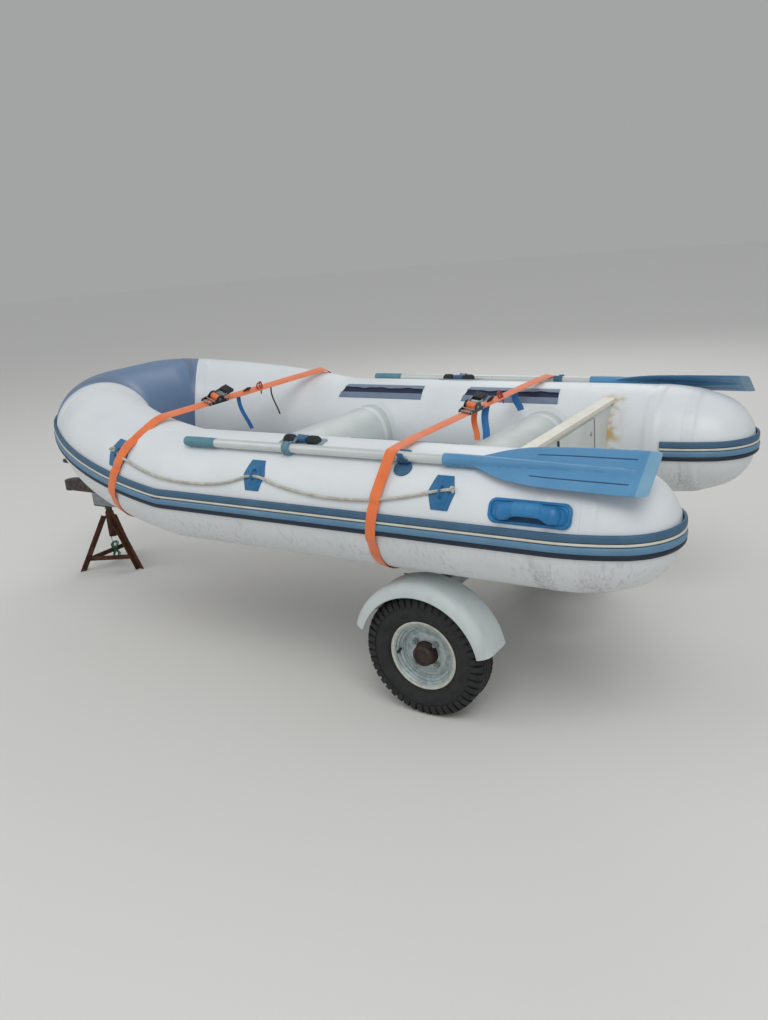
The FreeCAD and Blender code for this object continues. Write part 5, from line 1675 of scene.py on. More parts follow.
@dataclass(frozen=True)
class Strap:
    """One lashing strap: where it crosses the tube's axis, its lean and its fittings' places."""

    name: str
    x: float
    lean: float
    offset: float
    over_oar: bool
    ratchet_side: float
    hook_side: float
    # Columns: degrees round the tube, half spread in degrees, how far off the skin it lies there.
    lifts: tuple[tuple[float, float, float], ...]
    width: float = 0.035
    thickness: float = 0.0022
    spine_side: float = 0.0303
    spine_floor: float = 0.325

    @property
    def plane(self) -> Matrix:
        """From the upright plane of the strap to its leaned place.

        Returns:
            The turn about the tube's underside.
        """
        centre = Vector((AXLE_X + self.x, 0, LINES.skin(self.x, 0).translation.z - TUBE.radius))
        return (Matrix.Translation(centre) @ turned(-self.lean, "Y")
                @ Matrix.Translation(-centre))

    @property
    def axis(self) -> Vector:
        """The tube's axis in the strap's upright plane."""
        frame = LINES.port.at(LINES.station(self.x))
        return Vector((AXLE_X + self.x, frame.translation.y, frame.translation.z))

    @property
    def top(self) -> float:
        """Height of the webbing's underside between the tubes."""
        return self.axis.z + TUBE.radius + self.offset

    def reach(self, angle: float) -> float:
        """How far the webbing's underside is from the tube's axis, in the strap's plane.

        Args:
            angle: The turn round the tube in degrees.

        Returns:
            The distance: over the skin and what is glued to it, and easing down from the top.
        """
        stand = 0.0012
        for middle, spread, height in self.lifts:
            past = max(0.0, abs(angle - middle) - spread) / 7
            stand = max(stand, height * math.exp(-past ** 2))
        turn = math.radians(angle)
        out = self.plane.to_3x3() @ Vector((0, math.sin(turn), math.cos(turn)))
        axis, along = self.axis, LINES.station(self.x)
        reach = TUBE.radius + stand
        for _ in range(10):
            frame = LINES.port.at(along)
            along += (axis + out * reach - frame.translation).dot(frame.col[0].xyz)
            apart = (axis + out * reach - LINES.port.at(along).translation).length
            reach += TUBE.radius + stand - apart
        return max(reach, TUBE.radius + self.offset * math.exp(-(angle / 26) ** 2))

    def half_path(self) -> list[tuple[Vector, Vector]]:
        """The port half: points and the webbing's outward direction, from the middle down.

        Returns:
            Each point with its direction.
        """
        axis = self.axis
        x = axis.x
        path = [(Vector((x, axis.y * share, self.top)), UP) for share in even(20)[:-1]]
        stretch = 1 / math.cos(math.radians(self.lean))
        drop = (axis.z - self.spine_floor - 0.02) * stretch
        hook = Vector((x, self.spine_side, axis.z - drop))
        below = hook - axis
        lean = math.degrees(math.atan2(below.y, below.z)) % 360
        leave = lean - math.degrees(math.acos((TUBE.radius + 0.0012) / below.length))
        oar = OAR.frame(self.x).translation
        oar = Vector((x, oar.y, axis.z + (oar.z - axis.z) * stretch))
        points: list[tuple[Vector, Vector]] = []
        angle = 0.0
        while angle < leave:
            turn = math.radians(angle)
            out = Vector((0, math.sin(turn), math.cos(turn)))
            points.append((axis + out * self.reach(angle), out))
            angle += 1.5
        if self.over_oar:
            points = self.over(points, axis, oar)
        path += points
        last, out = path[-1]
        return path + [(last.lerp(hook, share), out) for share in even(14)[1:]]

    def over(self, points: list[tuple[Vector, Vector]], axis: Vector, oar: Vector,
             room: float = 0.0186) -> list[tuple[Vector, Vector]]:
        """Carry the webbing over the oar's shaft.

        Args:
            points: The path round the bare tube.
            axis: The tube's axis in the plane.
            oar: The shaft's axis in the plane.
            room: Radius that the webbing keeps from the shaft's axis.

        Returns:
            The path round tube and shaft.
        """
        apart = oar - axis
        lean = math.atan2(apart.y, apart.z)
        start = points[0][0] - oar
        first = math.atan2(start.y, start.z) + math.acos(room / start.length)
        last = lean + math.acos((TUBE.radius + 0.0012 - room) / apart.length)
        kept_before = points[:1]
        kept_after = [p for p in points if math.atan2(p[1].y, p[1].z) % (FULL_TURN) > last]
        round_shaft = []
        for share in even(12):
            turn = first + (last - first) * share
            out = Vector((0, math.sin(turn), math.cos(turn)))
            round_shaft.append((oar + out * room, out))
        bridges = []
        for near, far in ((kept_before[-1], round_shaft[0]), (round_shaft[-1], kept_after[0])):
            bridges.append([
                (near[0].lerp(far[0], i / 10), near[1].lerp(far[1], i / 10).normalized())
                for i in range(1, 10)])
        return kept_before + bridges[0] + round_shaft + bridges[1] + kept_after

    def webbing(self) -> Mesh:
        """The strap from hook to hook, with a weave map along and across it.

        Returns:
            The webbing in its place.
        """
        half = self.half_path()
        flip = Vector((1, -1, 1))
        path = [(p * flip, o * flip) for p, o in reversed(half[1:])] + half
        points = [self.plane @ p for p, _ in path]
        out = [self.plane.to_3x3() @ o for _, o in path]
        w, t = self.width / 2, self.thickness
        outline = ((-w, 0.0006), (-w + 0.0012, 0), (0, 0), (w - 0.0012, 0), (w, 0.0006),
                   (w, t - 0.0006), (w - 0.0012, t), (0, t), (-w + 0.0012, t), (-w, t - 0.0006))
        return ribbon(points, out, outline)


def ribbon(points: Sequence[Vector], out: Sequence[Vector], outline: Outline) -> Mesh:
    """Webbing along points, with a map named weave in metres along and across it.

    Args:
        points: The path.
        out: The direction out of its face at each point.
        outline: Its section.

    Returns:
        The webbing.
    """
    bm = bmesh.new()
    frames = upright(points, out)
    loft(bm, outline, frames)
    runs = [0.0]
    for before, after in zip(points, points[1:]):
        runs.append(runs[-1] + (after - before).length)
    bm.verts.ensure_lookup_table()
    place = {}
    count = len(outline)
    for index, run in enumerate(runs):
        for vert, (across, _) in zip(bm.verts[index * count:(index + 1) * count], outline):
            place[vert] = (run, across)
    layer = bm.loops.layers.uv.new("weave")
    for face in bm.faces:
        for corner in face.loops:
            corner[layer].uv = place[corner.vert]
    return bm


@dataclass(frozen=True)
class Lashings:
    """The two straps with their ratchets, joined hooks and loose tails."""

    straps: tuple[Strap, ...] = (
        Strap("front_strap", 1.190, 25.0, 0.0245, False, 0.222, -0.010,
              ((59.0, 9.0, 0.0125), (90.0, 12.0, 0.0110))),
        Strap("rear_strap", 0.085, 10.0, 0.017, True, 0.100, -0.090,
              ((60.0, 6.0, 0.0140), (90.0, 12.0, 0.0110))),
    )
    length: float = 0.110
    width: float = 0.048
    height: float = 0.034
    # The ratchet's bars. Columns: along the webbing, up, radius.
    rods: Rows = ((0.0, 0.017, 0.0055), (-0.046, 0.0055, 0.004), (0.046, 0.0055, 0.004),
                  (0.030, 0.013, 0.003))
    web_half: float = 0.017
    lever_lean: float = -14.0
    lever_rise: float = 0.023
    hook_apart: float = 0.047
    hook_wire: float = 0.0030
    # The loose ends. Columns: strap, place to port, length, width, drift to port, material.
    tails: Rows = ((0, 0.080, 0.150, 0.016, -0.050, 0), (1, -0.020, 0.125, 0.025, 0.030, 0),
                   (1, -0.270, 0.080, 0.025, -0.030, 0), (0, -0.130, 0.130, 0.006, -0.030, 1),
                   (1, 0.070, 0.105, 0.020, 0.008, 2))

    def side_plate(self) -> Mesh:
        """One side plate of a ratchet, standing on edge.

        Returns:
            The plate, lying flat.
        """
        half = self.length / 2
        outline = [(-half, 0.000), (half, 0.000), (half, 0.010), (half - 0.010, 0.013),
                   (0.022, 0.017), (0.016, 0.028), (0.006, self.height), (-0.010, self.height),
                   (-0.020, 0.026), (-0.026, 0.016), (-half + 0.010, 0.012), (-half, 0.009)]
        return plate(outline, 0.0022, 0.0005, 1)

    def toothed(self, across: float) -> Mesh:
        """One ratchet wheel beside a side plate.

        Args:
            across: Its place across the webbing.

        Returns:
            The wheel.
        """
        bm = bmesh.new()
        outline = []
        for tooth in range(12):
            base = FULL_TURN * tooth / 12
            outline += [(0.0150 * math.cos(base), 0.0150 * math.sin(base)),
                        (0.0118 * math.cos(base + 0.1), 0.0118 * math.sin(base + 0.1))]
        frames = [shift(across + 0.0026 * i, 0, 0.017) for i in range(2)]
        loft(bm, outline, frames)
        return bm

    def ratchet(self) -> Mesh:
        """A closed ratchet: plates, toothed wheels, the wound webbing and the end bar.

        Returns:
            The ratchet, with the webbing along Y.
        """
        bm = bmesh.new()
        for side in (-1, 1):
            inner = side * (self.width / 2 - 0.0026)
            turn = shift(inner - 0.0011, 0, 0) @ turned(90, "Z") @ turned(90, "X")
            joined(bm, self.side_plate(), 0, turn)
            joined(bm, self.toothed(inner - side * 0.0044 - 0.0013), 1)
        across = Vector((self.width / 2, 0, 0))
        for along, up, radius in self.rods:
            middle = Vector((0, along, up))
            bar(bm, middle - across, middle + across, radius, 1, edge=0.0008)
        half = self.web_half
        bar(bm, Vector((-half, 0, 0.017)), Vector((half, 0, 0.017)), 0.0125, 2, 28, 0.001)
        box(bm, (-half, 0.004, 0.0036), (half, 0.046, 0.0062), 2, 0.0008)
        box(bm, (-half, -0.048, 0.0012), (half, 0.0, 0.0034), 2, 0.0008)
        return bm

    def lever(self) -> Mesh:
        """The ratchet's handle: two cheeks and a moulded grip, leaning over the webbing.

        Returns:
            The lever, about its own pin.
        """
        bm = bmesh.new()
        half = self.width / 2 - 0.0035
        for side in (-1, 1):
            low = min(side * half, side * half - side * 0.002)
            box(bm, (low, -0.070, -0.005), (low + 0.002, 0.012, 0.005), 1, 0.0006)
        box(bm, (-half - 0.001, -0.078, -0.0065), (half + 0.001, -0.040, 0.0065), 0, 0.003)
        for index in range(4):
            middle = -0.073 + 0.009 * index
            box(bm, (-half, middle - 0.002, 0.0055), (half, middle + 0.002, 0.0082), 0, 0.001)
        box(bm, (-half + 0.004, -0.034, -0.002), (half - 0.004, -0.014, 0.0005), 1, 0.0005)
        return bm

    def hooks(self) -> Mesh:
        """Two wire hooks caught in each other, each with a closed eye in the webbing's loop.

        Returns:
            The hooks, one in red and one in black.
        """
        bm = bmesh.new()
        for side, paint in ((-1, 3), (1, 0)):
            line = CentreLine(shift(0, side * self.hook_apart, 0) @ turned(-90 * side, "Z"))
            turn_left = line.end.col[1].xyz
            line.end = Matrix.Translation(turn_left * -0.011) @ line.end
            line.ahead(0.012)
            towards = line.turn(0.013, 150, turn_left)
            line.ahead(0.010)
            line.turn(0.008, 120, -towards)
            part = bmesh.new()
            loft(part, ring(self.hook_wire, 12), [line.at(line.length * s) for s in even(40)])
            eye = [Vector((0.015 * math.cos(FULL_TURN * s),
                           side * self.hook_apart + 0.007 * math.sin(FULL_TURN * s), 0))
                   for s in even(32)[:-1]]
            hoop(part, ring(self.hook_wire, 10), eye, UP)
            joined(bm, part, paint, shift(0, 0, 0.010) @ turned(55 * side, "Y"))
        return bm

    def tail(self, strap: Strap, side: float, length: float, width: float,
             swing: float) -> Mesh:
        """A loose end of webbing that hangs from the strap.

        Args:
            strap: The strap.
            side: Where it hangs, to port.
            length: How far it hangs.
            width: Its width.
            swing: How far its end drifts to port.

        Returns:
            The tail.
        """
        points, out = [], []
        start = strap.plane @ Vector((AXLE_X + strap.x, side, strap.top - 0.0005))
        for share in even(16):
            points.append(start + Vector((
                0.006 * math.sin(5 * share), swing * share ** 1.5, -length * share)))
            out.append(Vector((-0.55, 0.83, 0.15 * math.sin(4 * share))).normalized())
        half = width / 2
        return ribbon(points, out, ((-half, 0), (half, 0), (half, 0.0015), (-half, 0.0015)))

    def build(self) -> None:
        """Build straps, ratchets, hooks and tails."""
        fittings, levers = bmesh.new(), bmesh.new()
        for strap in self.straps:
            finished(strap.name + "_webbing", strap.webbing(), (WEBBING,), (strap.name,))
            level = strap.top + strap.thickness + 0.0004
            at = strap.plane @ shift(AXLE_X + strap.x, strap.ratchet_side, level)
            joined(fittings, self.ratchet(), move=at)
            lean = shift(0, 0, self.lever_rise) @ turned(self.lever_lean, "X")
            joined(levers, self.lever(), move=at @ lean)
            joined(fittings, self.hooks(),
                   move=strap.plane @ shift(AXLE_X + strap.x, strap.hook_side, level))
        finished("ratchets_and_hooks", fittings, (BLACK_PAINT, ZINC, WEBBING, RED_PAINT),
                 ("strap_ratchets",))
        finished("ratchet_levers", levers, (BLACK_PAINT, ZINC), ("ratchet_handles",))
        tails = bmesh.new()
        for index, *sizes, paint in self.tails:
            joined(tails, self.tail(self.straps[index], *sizes), paint)
        finished("loose_webbing_tails", tails, (BLUE_TAIL, BLACK_PAINT, WEBBING))


@dataclass(frozen=True)
class RoadWheel:
    """One small road wheel: a lugged tyre, a stepped steel rim, its nuts and its rusty hub."""

    name: str
    flip: int
    side: float = 0.575
    radius: float = 0.206
    lugs: int = 46
    lug_half: float = 0.0086
    studs: int = 4
    stud_circle: float = 0.0508
    # Columns: across the wheel and out from its axis, in millimetres.
    wall: Rows = (
        (39, 103), (39, 117), (41.5, 119), (42, 123), (45.5, 124.5), (46.5, 128), (49.5, 132),
        (50.2, 134.5), (52.5, 138), (53.6, 145), (54.9, 147), (54.2, 149), (54.8, 156), (54.6, 160),
        (53.2, 162), (53.4, 166), (52.0, 168), (51.2, 174), (48.6, 182), (44.8, 190), (40, 196.5),
        (36, 201.5), (27, 203.2), (26, 198), (23, 198), (22, 204), (11, 205), (10, 199.5),
        (7, 199.5), (6, 205.4),
    )
    barrel: Rows = (
        (-42.3, 114.5), (-41.2, 116), (-39.8, 115.6), (-39.3, 113), (-39.3, 102.7), (-27, 102.7),
        (-21, 85), (21, 85), (27, 102.7), (39.3, 102.7), (39.3, 113), (39.8, 115.6), (41.2, 116),
        (42.3, 114.5), (42.0, 109.5), (40.4, 107.5), (39.2, 103.5), (36.0, 100.6), (33.2, 100.0),
        (31.6, 98.0), (31.2, 95.0), (28.0, 92.8), (24.4, 92.0), (22.8, 90.0), (22.4, 87.4),
        (19.0, 85.2), (15.4, 84.4), (14.0, 82.6), (13.0, 81.9), (-22.6, 82), (-28.6, 99.6),
        (-41.0, 100.2), (-42.3, 105),
    )
    disc: Rows = (
        (1.0, 82.6), (12.0, 82.8), (13.6, 80.5), (13.8, 77.0), (15.4, 75.2), (15.8, 73.0),
        (14.6, 71.4), (14.2, 69.6), (15.6, 67.8), (16.2, 64.0), (16.2, 41.0), (15.6, 40.4),
        (12.0, 40.4), (12.0, 62.5), (9.0, 66.5), (1.0, 80.5),
    )
    hub: Rows = (
        (-45, 13.3), (-45, 36.5), (-43.5, 38), (2.7, 38), (2.7, 62), (11.7, 62), (11.7, 38),
        (24, 38), (24, 35.4), (41, 35.0), (44.5, 34.2), (47, 31.5), (50, 29), (50, 24), (46, 22.5),
        (46, 0.02), (20, 0.02), (20, 13.3),
    )
    # A shoulder lug's section, in metres.
    outline: Rows = (
        (0.0270, 0.198), (0.0290, 0.2058), (0.0395, 0.2046), (0.0480, 0.1985), (0.0530, 0.1880),
        (0.0549, 0.1760), (0.0549, 0.1690), (0.0530, 0.1680), (0.0500, 0.1780), (0.0400, 0.1930),
    )

    def done(self, name: str, bm: Mesh, finishes: Sequence[Finish],
             replaces: Sequence[str]) -> None:
        """Move a wheel part from the port wheel's place to its own side and finish it.

        Args:
            name: The piece's name without its side.
            bm: Its mesh, about the wheel's own middle.
            finishes: Its finishes.
            replaces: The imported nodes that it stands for, without their side.
        """
        bmesh.ops.translate(bm, vec=(AXLE_X, self.side, self.radius), verts=bm.verts)
        bmesh.ops.scale(bm, vec=(1, self.flip, 1), verts=bm.verts)
        finished("%s_%s" % (self.name, name), bm, finishes,
                 ["%s_%s" % (self.name, node) for node in replaces],
                 "wheel_" + self.name)

    def tyre(self) -> None:
        """The tyre: grooved crown, ringed sidewalls and shoulder lugs."""
        profile = [(-y / 1000, r / 1000) for y, r in self.wall]
        profile += [(y / 1000, r / 1000) for y, r in reversed(self.wall)]
        bm = bmesh.new()
        spun(bm, profile, 120)
        for side in (-1, 1):
            for index in range(self.lugs):
                turn = FULL_TURN * (index + 0.25 * side) / self.lugs
                self.lug(bm, side, turn)
        self.done("tyre_treaded", bm, (TYRE,), ("tyre",))

    def lug(self, bm: Mesh, side: int, turn: float) -> None:
        """One shoulder lug, from the crown down on to the sidewall.

        Args:
            bm: The mesh that gets it.
            side: 1 outboard, -1 inboard.
            turn: Its place round the wheel, in radians.
        """
        frames = [Matrix.Rotation(turn, 4, "Y") @ shift(x, 0, 0)
                  for x in (-self.lug_half, self.lug_half)]
        loft(bm, [(side * y, r) for y, r in self.outline], frames)

    def rim(self) -> None:
        """The rim: rolled flanges, a dropped well and a stepped disc, with a valve."""
        bm = bmesh.new()
        spun(bm, [(y / 1000, r / 1000) for y, r in self.barrel], 96,
             paint=lambda middle: int(math.hypot(middle.x, middle.z) > 0.1055))
        spun(bm, [(y / 1000, r / 1000) for y, r in self.disc], 96)
        bar(bm, Vector((0.0915, 0.0205, 0)), Vector((0.0880, 0.043, 0)), 0.0044, 2, 16, 0.0008)
        bar(bm, Vector((0.0885, 0.038, 0)), Vector((0.0872, 0.048, 0)), 0.0052, 2, 12, 0.0008)
        self.done("rim_stepped", bm, (RIM_STEEL, RIM_CREAM, TYRE), ("rim",))

    def nuts(self) -> None:
        """The hub with its four studs and nuts, bare and rusty."""
        bm = bmesh.new()
        spun(bm, [(y / 1000, r / 1000) for y, r in self.hub], 64)
        for share in even(self.studs)[:-1]:
            angle = 45 + 360 * share
            at = turned(-angle, "Y") @ Vector((self.stud_circle, 0, 0))
            bar(bm, at + PORT * 0.011, at + PORT * 0.0345, 0.0058, 1, 16, 0.0012)
            nut = stub(0.0102, 0.0102, 0.011, Matrix.Translation(at + PORT * 0.0212) @ turned(
                -90, "X") @ turned(angle * 1.7, "Z"), 6)
            softened(nut, nut.edges[:], 0.0009)
            joined(bm, nut, 1)
        self.done("hub_rusty", bm, (HUB_RUST, GALVANISED), ("hub",))

    def build(self) -> None:
        """Build the whole wheel."""
        self.tyre()
        self.rim()
        self.nuts()


@dataclass(frozen=True)
class Mudguards:
    """Two moulded mudguards: a rounded channel over the tyre with a rolled edge."""

    outside: float = 0.249
    inner_side: float = 0.500
    width: float = 0.150
    corner: float = 0.035
    wall: float = 0.003
    lip: float = 0.040
    sweep: float = 149.0
    tilt: float = 4.5

    def section(self) -> list[tuple[float, float]]:
        """The channel's outline: across from the inner edge, out from the axle.

        Returns:
            Its points, without the first one again.
        """
        outer: list[tuple[float, float]] = []
        inner: list[tuple[float, float]] = []
        mouth = self.outside - self.lip
        for side in (0, 1):
            for index in range(9):
                angle = math.pi / 2 * (index / 8 + side)
                centre = self.corner if side == 0 else self.width - self.corner
                for radius, row in ((self.corner, outer), (self.corner - self.wall, inner)):
                    row.append((centre - radius * math.cos(angle),
                                self.outside - self.corner + radius * math.sin(angle)))
        bead = 0.0018
        start = [(-bead * 0.2, mouth + 0.002), (-bead, mouth + 0.006), (0.0, mouth + 0.010)]
        finish = [(self.width - y, r) for y, r in reversed(start)]
        closing = [(self.width - self.wall, mouth), *reversed(inner), (self.wall, mouth)]
        return start + outer + finish + [(self.width, mouth)] + closing + [(0.0, mouth)]

    def build(self) -> None:
        """Build both guards."""
        bm = bmesh.new()
        centre = shift(AXLE_X, self.inner_side, RoadWheel.radius)
        loft(bm, self.section(), [centre @ turned(self.sweep * (share - 0.5) - self.tilt, "Y")
                                  for share in even(72)])
        both_sides(bm)
        finished("moulded_mudguards", bm, (GUARD,), ("mudguards",), sharp=60)


@dataclass(frozen=True)
class TrailerFrame:
    """The trailer's bare steel, dressed as it is packed, with the bolts that hold it together."""

    finishes: tuple[tuple[Finish, tuple[str, ...]], ...] = (
        (GALVANISED, ("spine", "axle_beam", "cross_members", "swing_arms", "roller_cheeks",
                      "winch_post", "mudguard_brackets")),
        (CASTING, ("coupling_head",)), (BLACK_PAINT, ("coupling_lever",)), (ZINC, ("hand_winch",)),
        (ROLLER, ("keel_rollers", "bow_snubber")), (BUNK_WOOD, ("bunk_boards",)),
        (RUST, ("prop_stand",)), (HULL_GEL, ("rigid_hull",)), (DECK_GREY, ("deck_panel",)),
        (BOARD, ("transom",)), (CAP_CREAM, ("transom_cap",)), (OAR_ALUMINIUM, ("oar_shafts",)),
    )
    # Columns: forward of the axle, half apart fore and aft, to each side, height.
    upper_bolts: Rows = ((0.420, 0.012, 0.022, 0.425), (-0.180, 0.012, 0.022, 0.425))
    lower_bolts: Rows = ((0.100, 0.013, 0.018, 0.275),)
    roller_places: tuple[float, ...] = (0.870, 0.300, -0.265)
    cheek_side: float = 0.0343
    cheek_height: float = 0.4137

    def dress(self, nodes: dict[str, bpy.types.Object]) -> None:
        """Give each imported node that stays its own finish.

        Args:
            nodes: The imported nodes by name.
        """
        for finish, names in self.finishes:
            for name in names:
                mesh = nodes[name].data
                mesh.materials.clear()
                mesh.materials.append(finish.material())
                LOG.info("%s: %s", name, finish.name)

    def bolt(self, bm: Mesh, at: Vector, along: Vector, size: float = 0.0075) -> None:
        """A hexagon head with its washer, standing on a face.

        Args:
            bm: The mesh that gets it.
            at: The face.
            along: The direction out of the face.
            size: Radius of the head over its corners.
        """
        bar(bm, at, at + along * 0.0018, size * 1.35, 0, 20)
        bar(bm, at + along * 0.0018, at + along * 0.0075, size, 0, 6, 0.0006)

    def build(self) -> None:
        """Build the bolts of the cross members, the axle beam and the rollers' cheeks."""
        bm = bmesh.new()
        for rows, out in ((self.upper_bolts, UP), (self.lower_bolts, -UP)):
            for (x, apart, side, up), port, ahead in product(rows, (-1, 1), (-1, 1)):
                self.bolt(bm, Vector((AXLE_X + x + ahead * apart, port * side, up)), out)
        for x, port in product(self.roller_places, (-1, 1)):
            self.bolt(bm, Vector((AXLE_X + x, port * self.cheek_side, self.cheek_height)),
                      PORT * port)
        finished("frame_bolts", bm, (ZINC,))


@dataclass(frozen=True)
class TransomFittings:
    """The outboard motor's pad on the transom's after face, with a painted shade strip at each side
    and four bolts.
    """

    face: float = -0.285
    half_width: float = 0.165
    low: float = 0.560
    high: float = 0.8065
    thickness: float = 0.006
    shade_gap_place: float = 0.0016
    shade_gap_half: float = 0.0018
    bolt_side: float = 0.130
    bolt_heights: tuple[float, float] = (0.640, 0.760)

    def build(self) -> None:
        """Build the pad on the after face."""
        bm = bmesh.new()
        at = AXLE_X + self.face
        out = at - self.thickness
        box(bm, (out, -self.half_width, self.low), (at, self.half_width, self.high), 0, 0.0015)
        for side in (-1, 1):
            # A thin dark strip beside each edge of the pad: painted shade for the gap there
            edge = side * (self.half_width + self.shade_gap_place)
            box(bm, (out - 0.001, edge - self.shade_gap_half, self.low),
                (at, edge + self.shade_gap_half, self.high), 2, 0.0006)
            for up in self.bolt_heights:
                point = Vector((out, side * self.bolt_side, up))
                bar(bm, point, point - FORWARD * 0.0025, 0.008, 1, 24, 0.0008)
        finished("transom_pad", bm, (BOARD, ZINC, DARK_RUBBER_AND_GAP_SHADE))


@dataclass(frozen=True)
class StandString:
    """The thin green string: tied round the stand's head, and hanked on one of its base bars."""

    thickness: float = 0.0015
    axis: Place = (AXLE_X + 2.120, -0.030, 0)
    riser_radius: float = 0.015
    low_turn: float = 0.292
    pitch: float = 0.0032
    # The middle of the base bar's length that carries the hank, and the bar's section.
    bar_start: Place = (AXLE_X + 2.1811, -0.1449, 0.056)
    bar_end: Place = (AXLE_X + 2.1890, 0.0804, 0.056)
    share: float = 0.33
    bar_half: tuple[float, float] = (0.0020, 0.0110)
    sag: float = 0.016

    def turns(self) -> list[Vector]:
        """Four close turns round the riser, drawn from the bottom up.

        Returns:
            The points.
        """
        reach = self.riser_radius + self.thickness * 0.9
        return [Vector(self.axis) + Vector((
            reach * math.cos(FULL_TURN * i / 24), reach * math.sin(FULL_TURN * i / 24),
            self.low_turn + self.pitch * i / 24)) for i in range(4 * 24)]

    def knot(self, middle: Vector, along: Vector, across: Vector) -> list[Vector]:
        """Six tight turns round the bar.

        Args:
            middle: The middle of the bar's section there.
            along: The bar's direction.
            across: The level direction square to it.

        Returns:
            The points.
        """
        wide, tall = (half + self.thickness for half in self.bar_half)
        return [middle + along * (0.0034 * (i / 24 - 3))
                + across * (wide + 0.0012) * math.cos(FULL_TURN * i / 24)
                + UP * (tall + 0.001) * math.sin(FULL_TURN * i / 24) for i in range(6 * 24)]

    def hank(self, middle: Vector, along: Vector, across: Vector) -> list[Vector]:
        """Loose loops gathered in one figure, pinched at the bar.

        Args:
            middle: The middle of the bar's section there.
            along: The bar's direction.
            across: The level direction square to it.

        Returns:
            The points.
        """
        points = []
        for index in range(7 * 36):
            angle = FULL_TURN * index / 36
            turn = index / 36
            tall = 0.040 + 0.004 * math.sin(turn * 2.4)
            wide = 0.017 + 0.004 * math.cos(turn * 3.1)
            points.append(middle - across * (0.0075 + 0.0011 * turn) + UP * (tall * math.cos(angle))
                          + along * (wide * math.sin(2 * angle) + 0.004 * math.sin(turn * 1.7)))
        return points

    def build(self) -> None:
        """Build the turns, the run down to the bar, the knot and the hank."""
        first, last = Vector(self.bar_start), Vector(self.bar_end)
        along = (last - first).normalized()
        across = along.cross(UP)
        middle = first.lerp(last, self.share) - across * self.bar_half[0]
        turns = self.turns()
        knot = self.knot(middle, along, across)
        run = [turns[0].lerp(knot[0], share) + across * self.sag * math.sin(math.pi * share)
               for share in even(24)]
        bm = bmesh.new()
        for points in (turns, run, knot, self.hank(middle, along, across)):
            cord(bm, ring(self.thickness, 8), points, Vector((0.3, 0.9, 0.2)))
        finished("stand_string", bm, (STRING,))


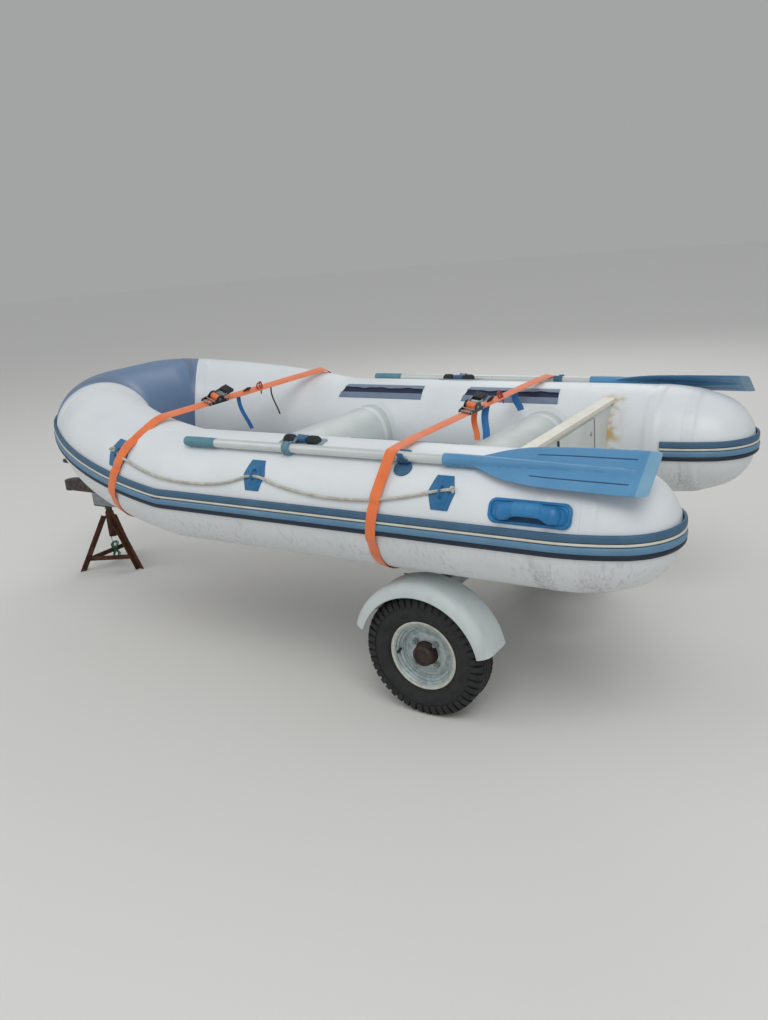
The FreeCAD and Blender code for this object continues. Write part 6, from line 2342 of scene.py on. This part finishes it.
@dataclass(frozen=True)
class Studio:
    """The pale floor, the soft lamps and the camera at the photograph's place."""

    at: Place = (-2.1193, 2.822, 1.505)
    right: Place = (-0.84956, -0.52144, -0.07966)
    above: Place = (0.09253, -0.29598, 0.95070)
    ahead: Place = (0.51932, -0.80030, -0.29971)
    focal_pixels: float = 906.0
    long_side: float = 1020.0
    sensor_mm: float = 36.0
    floor_radius: float = 30.0
    # Columns: the lamp's name, its place, its side in metres, its power in watts.
    lamps: tuple[tuple[str, Place, float, float], ...] = (
        ("key", (-3.5, 4.0, 6.0), 4.0, 185.0), ("fill", (4.5, 3.0, 4.0), 5.0, 60.0),
        ("rim", (1.0, -5.5, 4.5), 4.0, 80.0))
    lamp_target: Place = (0, 0, 0.4)
    sky_colour: str = "#eef2f6"
    sky_strength: float = 0.60
    behind_colour: str = "#a3a5a4"
    floor_colour: str = "#d9d7d2"

    def camera(self) -> None:
        """Set the camera by the photograph's own perspective."""
        data = bpy.data.cameras.new("camera")
        data.sensor_width = self.sensor_mm
        data.lens = self.focal_pixels / self.long_side * self.sensor_mm
        data.clip_start = 0.05
        frame = Matrix((self.right, self.above, -Vector(self.ahead))).transposed().to_4x4()
        frame.translation = self.at
        camera = placed("camera", data)
        camera.matrix_world = frame
        bpy.context.scene.camera = camera

    def floor(self) -> None:
        """Lay a pale floor under the wheels and the stand."""
        bm = bmesh.new()
        bmesh.ops.create_circle(bm, cap_ends=True, segments=96, radius=self.floor_radius)
        mesh = bpy.data.meshes.new("floor")
        bm.to_mesh(mesh)
        bm.free()
        made = bpy.data.materials.new("pale_floor")
        made.use_nodes = True
        nodes = Nodes(made.node_tree)
        nodes.fill(nodes.tree.nodes["Principled BSDF"],
                   {"Base Color": linear(self.floor_colour), "Roughness": 0.9})
        mesh.materials.append(made)
        placed("floor", mesh)

    def lamp(self, name: str, at: Place, size: float, watts: float) -> None:
        """Hang one square soft lamp that faces the boat.

        Args:
            name: The lamp's name.
            at: Its place.
            size: Its side.
            watts: Its power.
        """
        data = bpy.data.lights.new(name, "AREA")
        data.size = size
        data.energy = watts
        lamp = placed(name, data)
        lamp.location = at
        lamp.rotation_mode = "QUATERNION"
        towards = Vector(self.lamp_target) - Vector(at)
        lamp.rotation_quaternion = towards.to_track_quat("-Z", "Y")

    def sky(self) -> bpy.types.World:
        """An even overcast light, behind which the camera sees the far floor's own grey.

        Returns:
            The world.
        """
        world = bpy.data.worlds.new("sky")
        world.use_nodes = True
        nodes = Nodes(world.node_tree)
        light = nodes.tree.nodes["Background"]
        nodes.fill(light, {"Color": linear(self.sky_colour), "Strength": self.sky_strength})
        behind = nodes.add("Background", {"Color": linear(self.behind_colour), "Strength": 1.0})
        path = nodes.add("LightPath").outputs
        seen = path["Is Camera Ray"]
        for kind in ("Is Glossy Ray", "Is Transmission Ray"):
            seen = nodes.reckon("MAXIMUM", seen, path[kind])
        mix = nodes.add("MixShader", {
            0: seen, 1: light.outputs["Background"], 2: behind.outputs["Background"]})
        nodes.fill(nodes.tree.nodes["World Output"], {"Surface": mix.outputs["Shader"]})
        return world

    def build(self) -> None:
        """Build the stage."""
        scene = bpy.context.scene
        scene.view_settings.view_transform = "Standard"
        scene.world = self.sky()
        self.camera()
        self.floor()
        for lamp in self.lamps:
            self.lamp(*lamp)


def main() -> None:
    """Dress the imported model, piece by piece."""
    logging.basicConfig(level=logging.INFO, format="%(message)s")
    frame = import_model()
    for assembly in (Studio(), GrabRopes(), BuoyancyTubes(), RubbingStrake(), Thwarts(),
                     SeatRails(), RopePatches(), CarryHandles(), Oars(), Rowlocks(), OarClips(),
                     Lashings(), RoadWheel("port", 1), RoadWheel("starboard", -1), Mudguards(),
                     TransomFittings(), StandString()):
        assembly.build()
    trailer = TrailerFrame()
    trailer.dress(frame["nodes"])
    trailer.build()


if __name__ == "__main__":
    main()
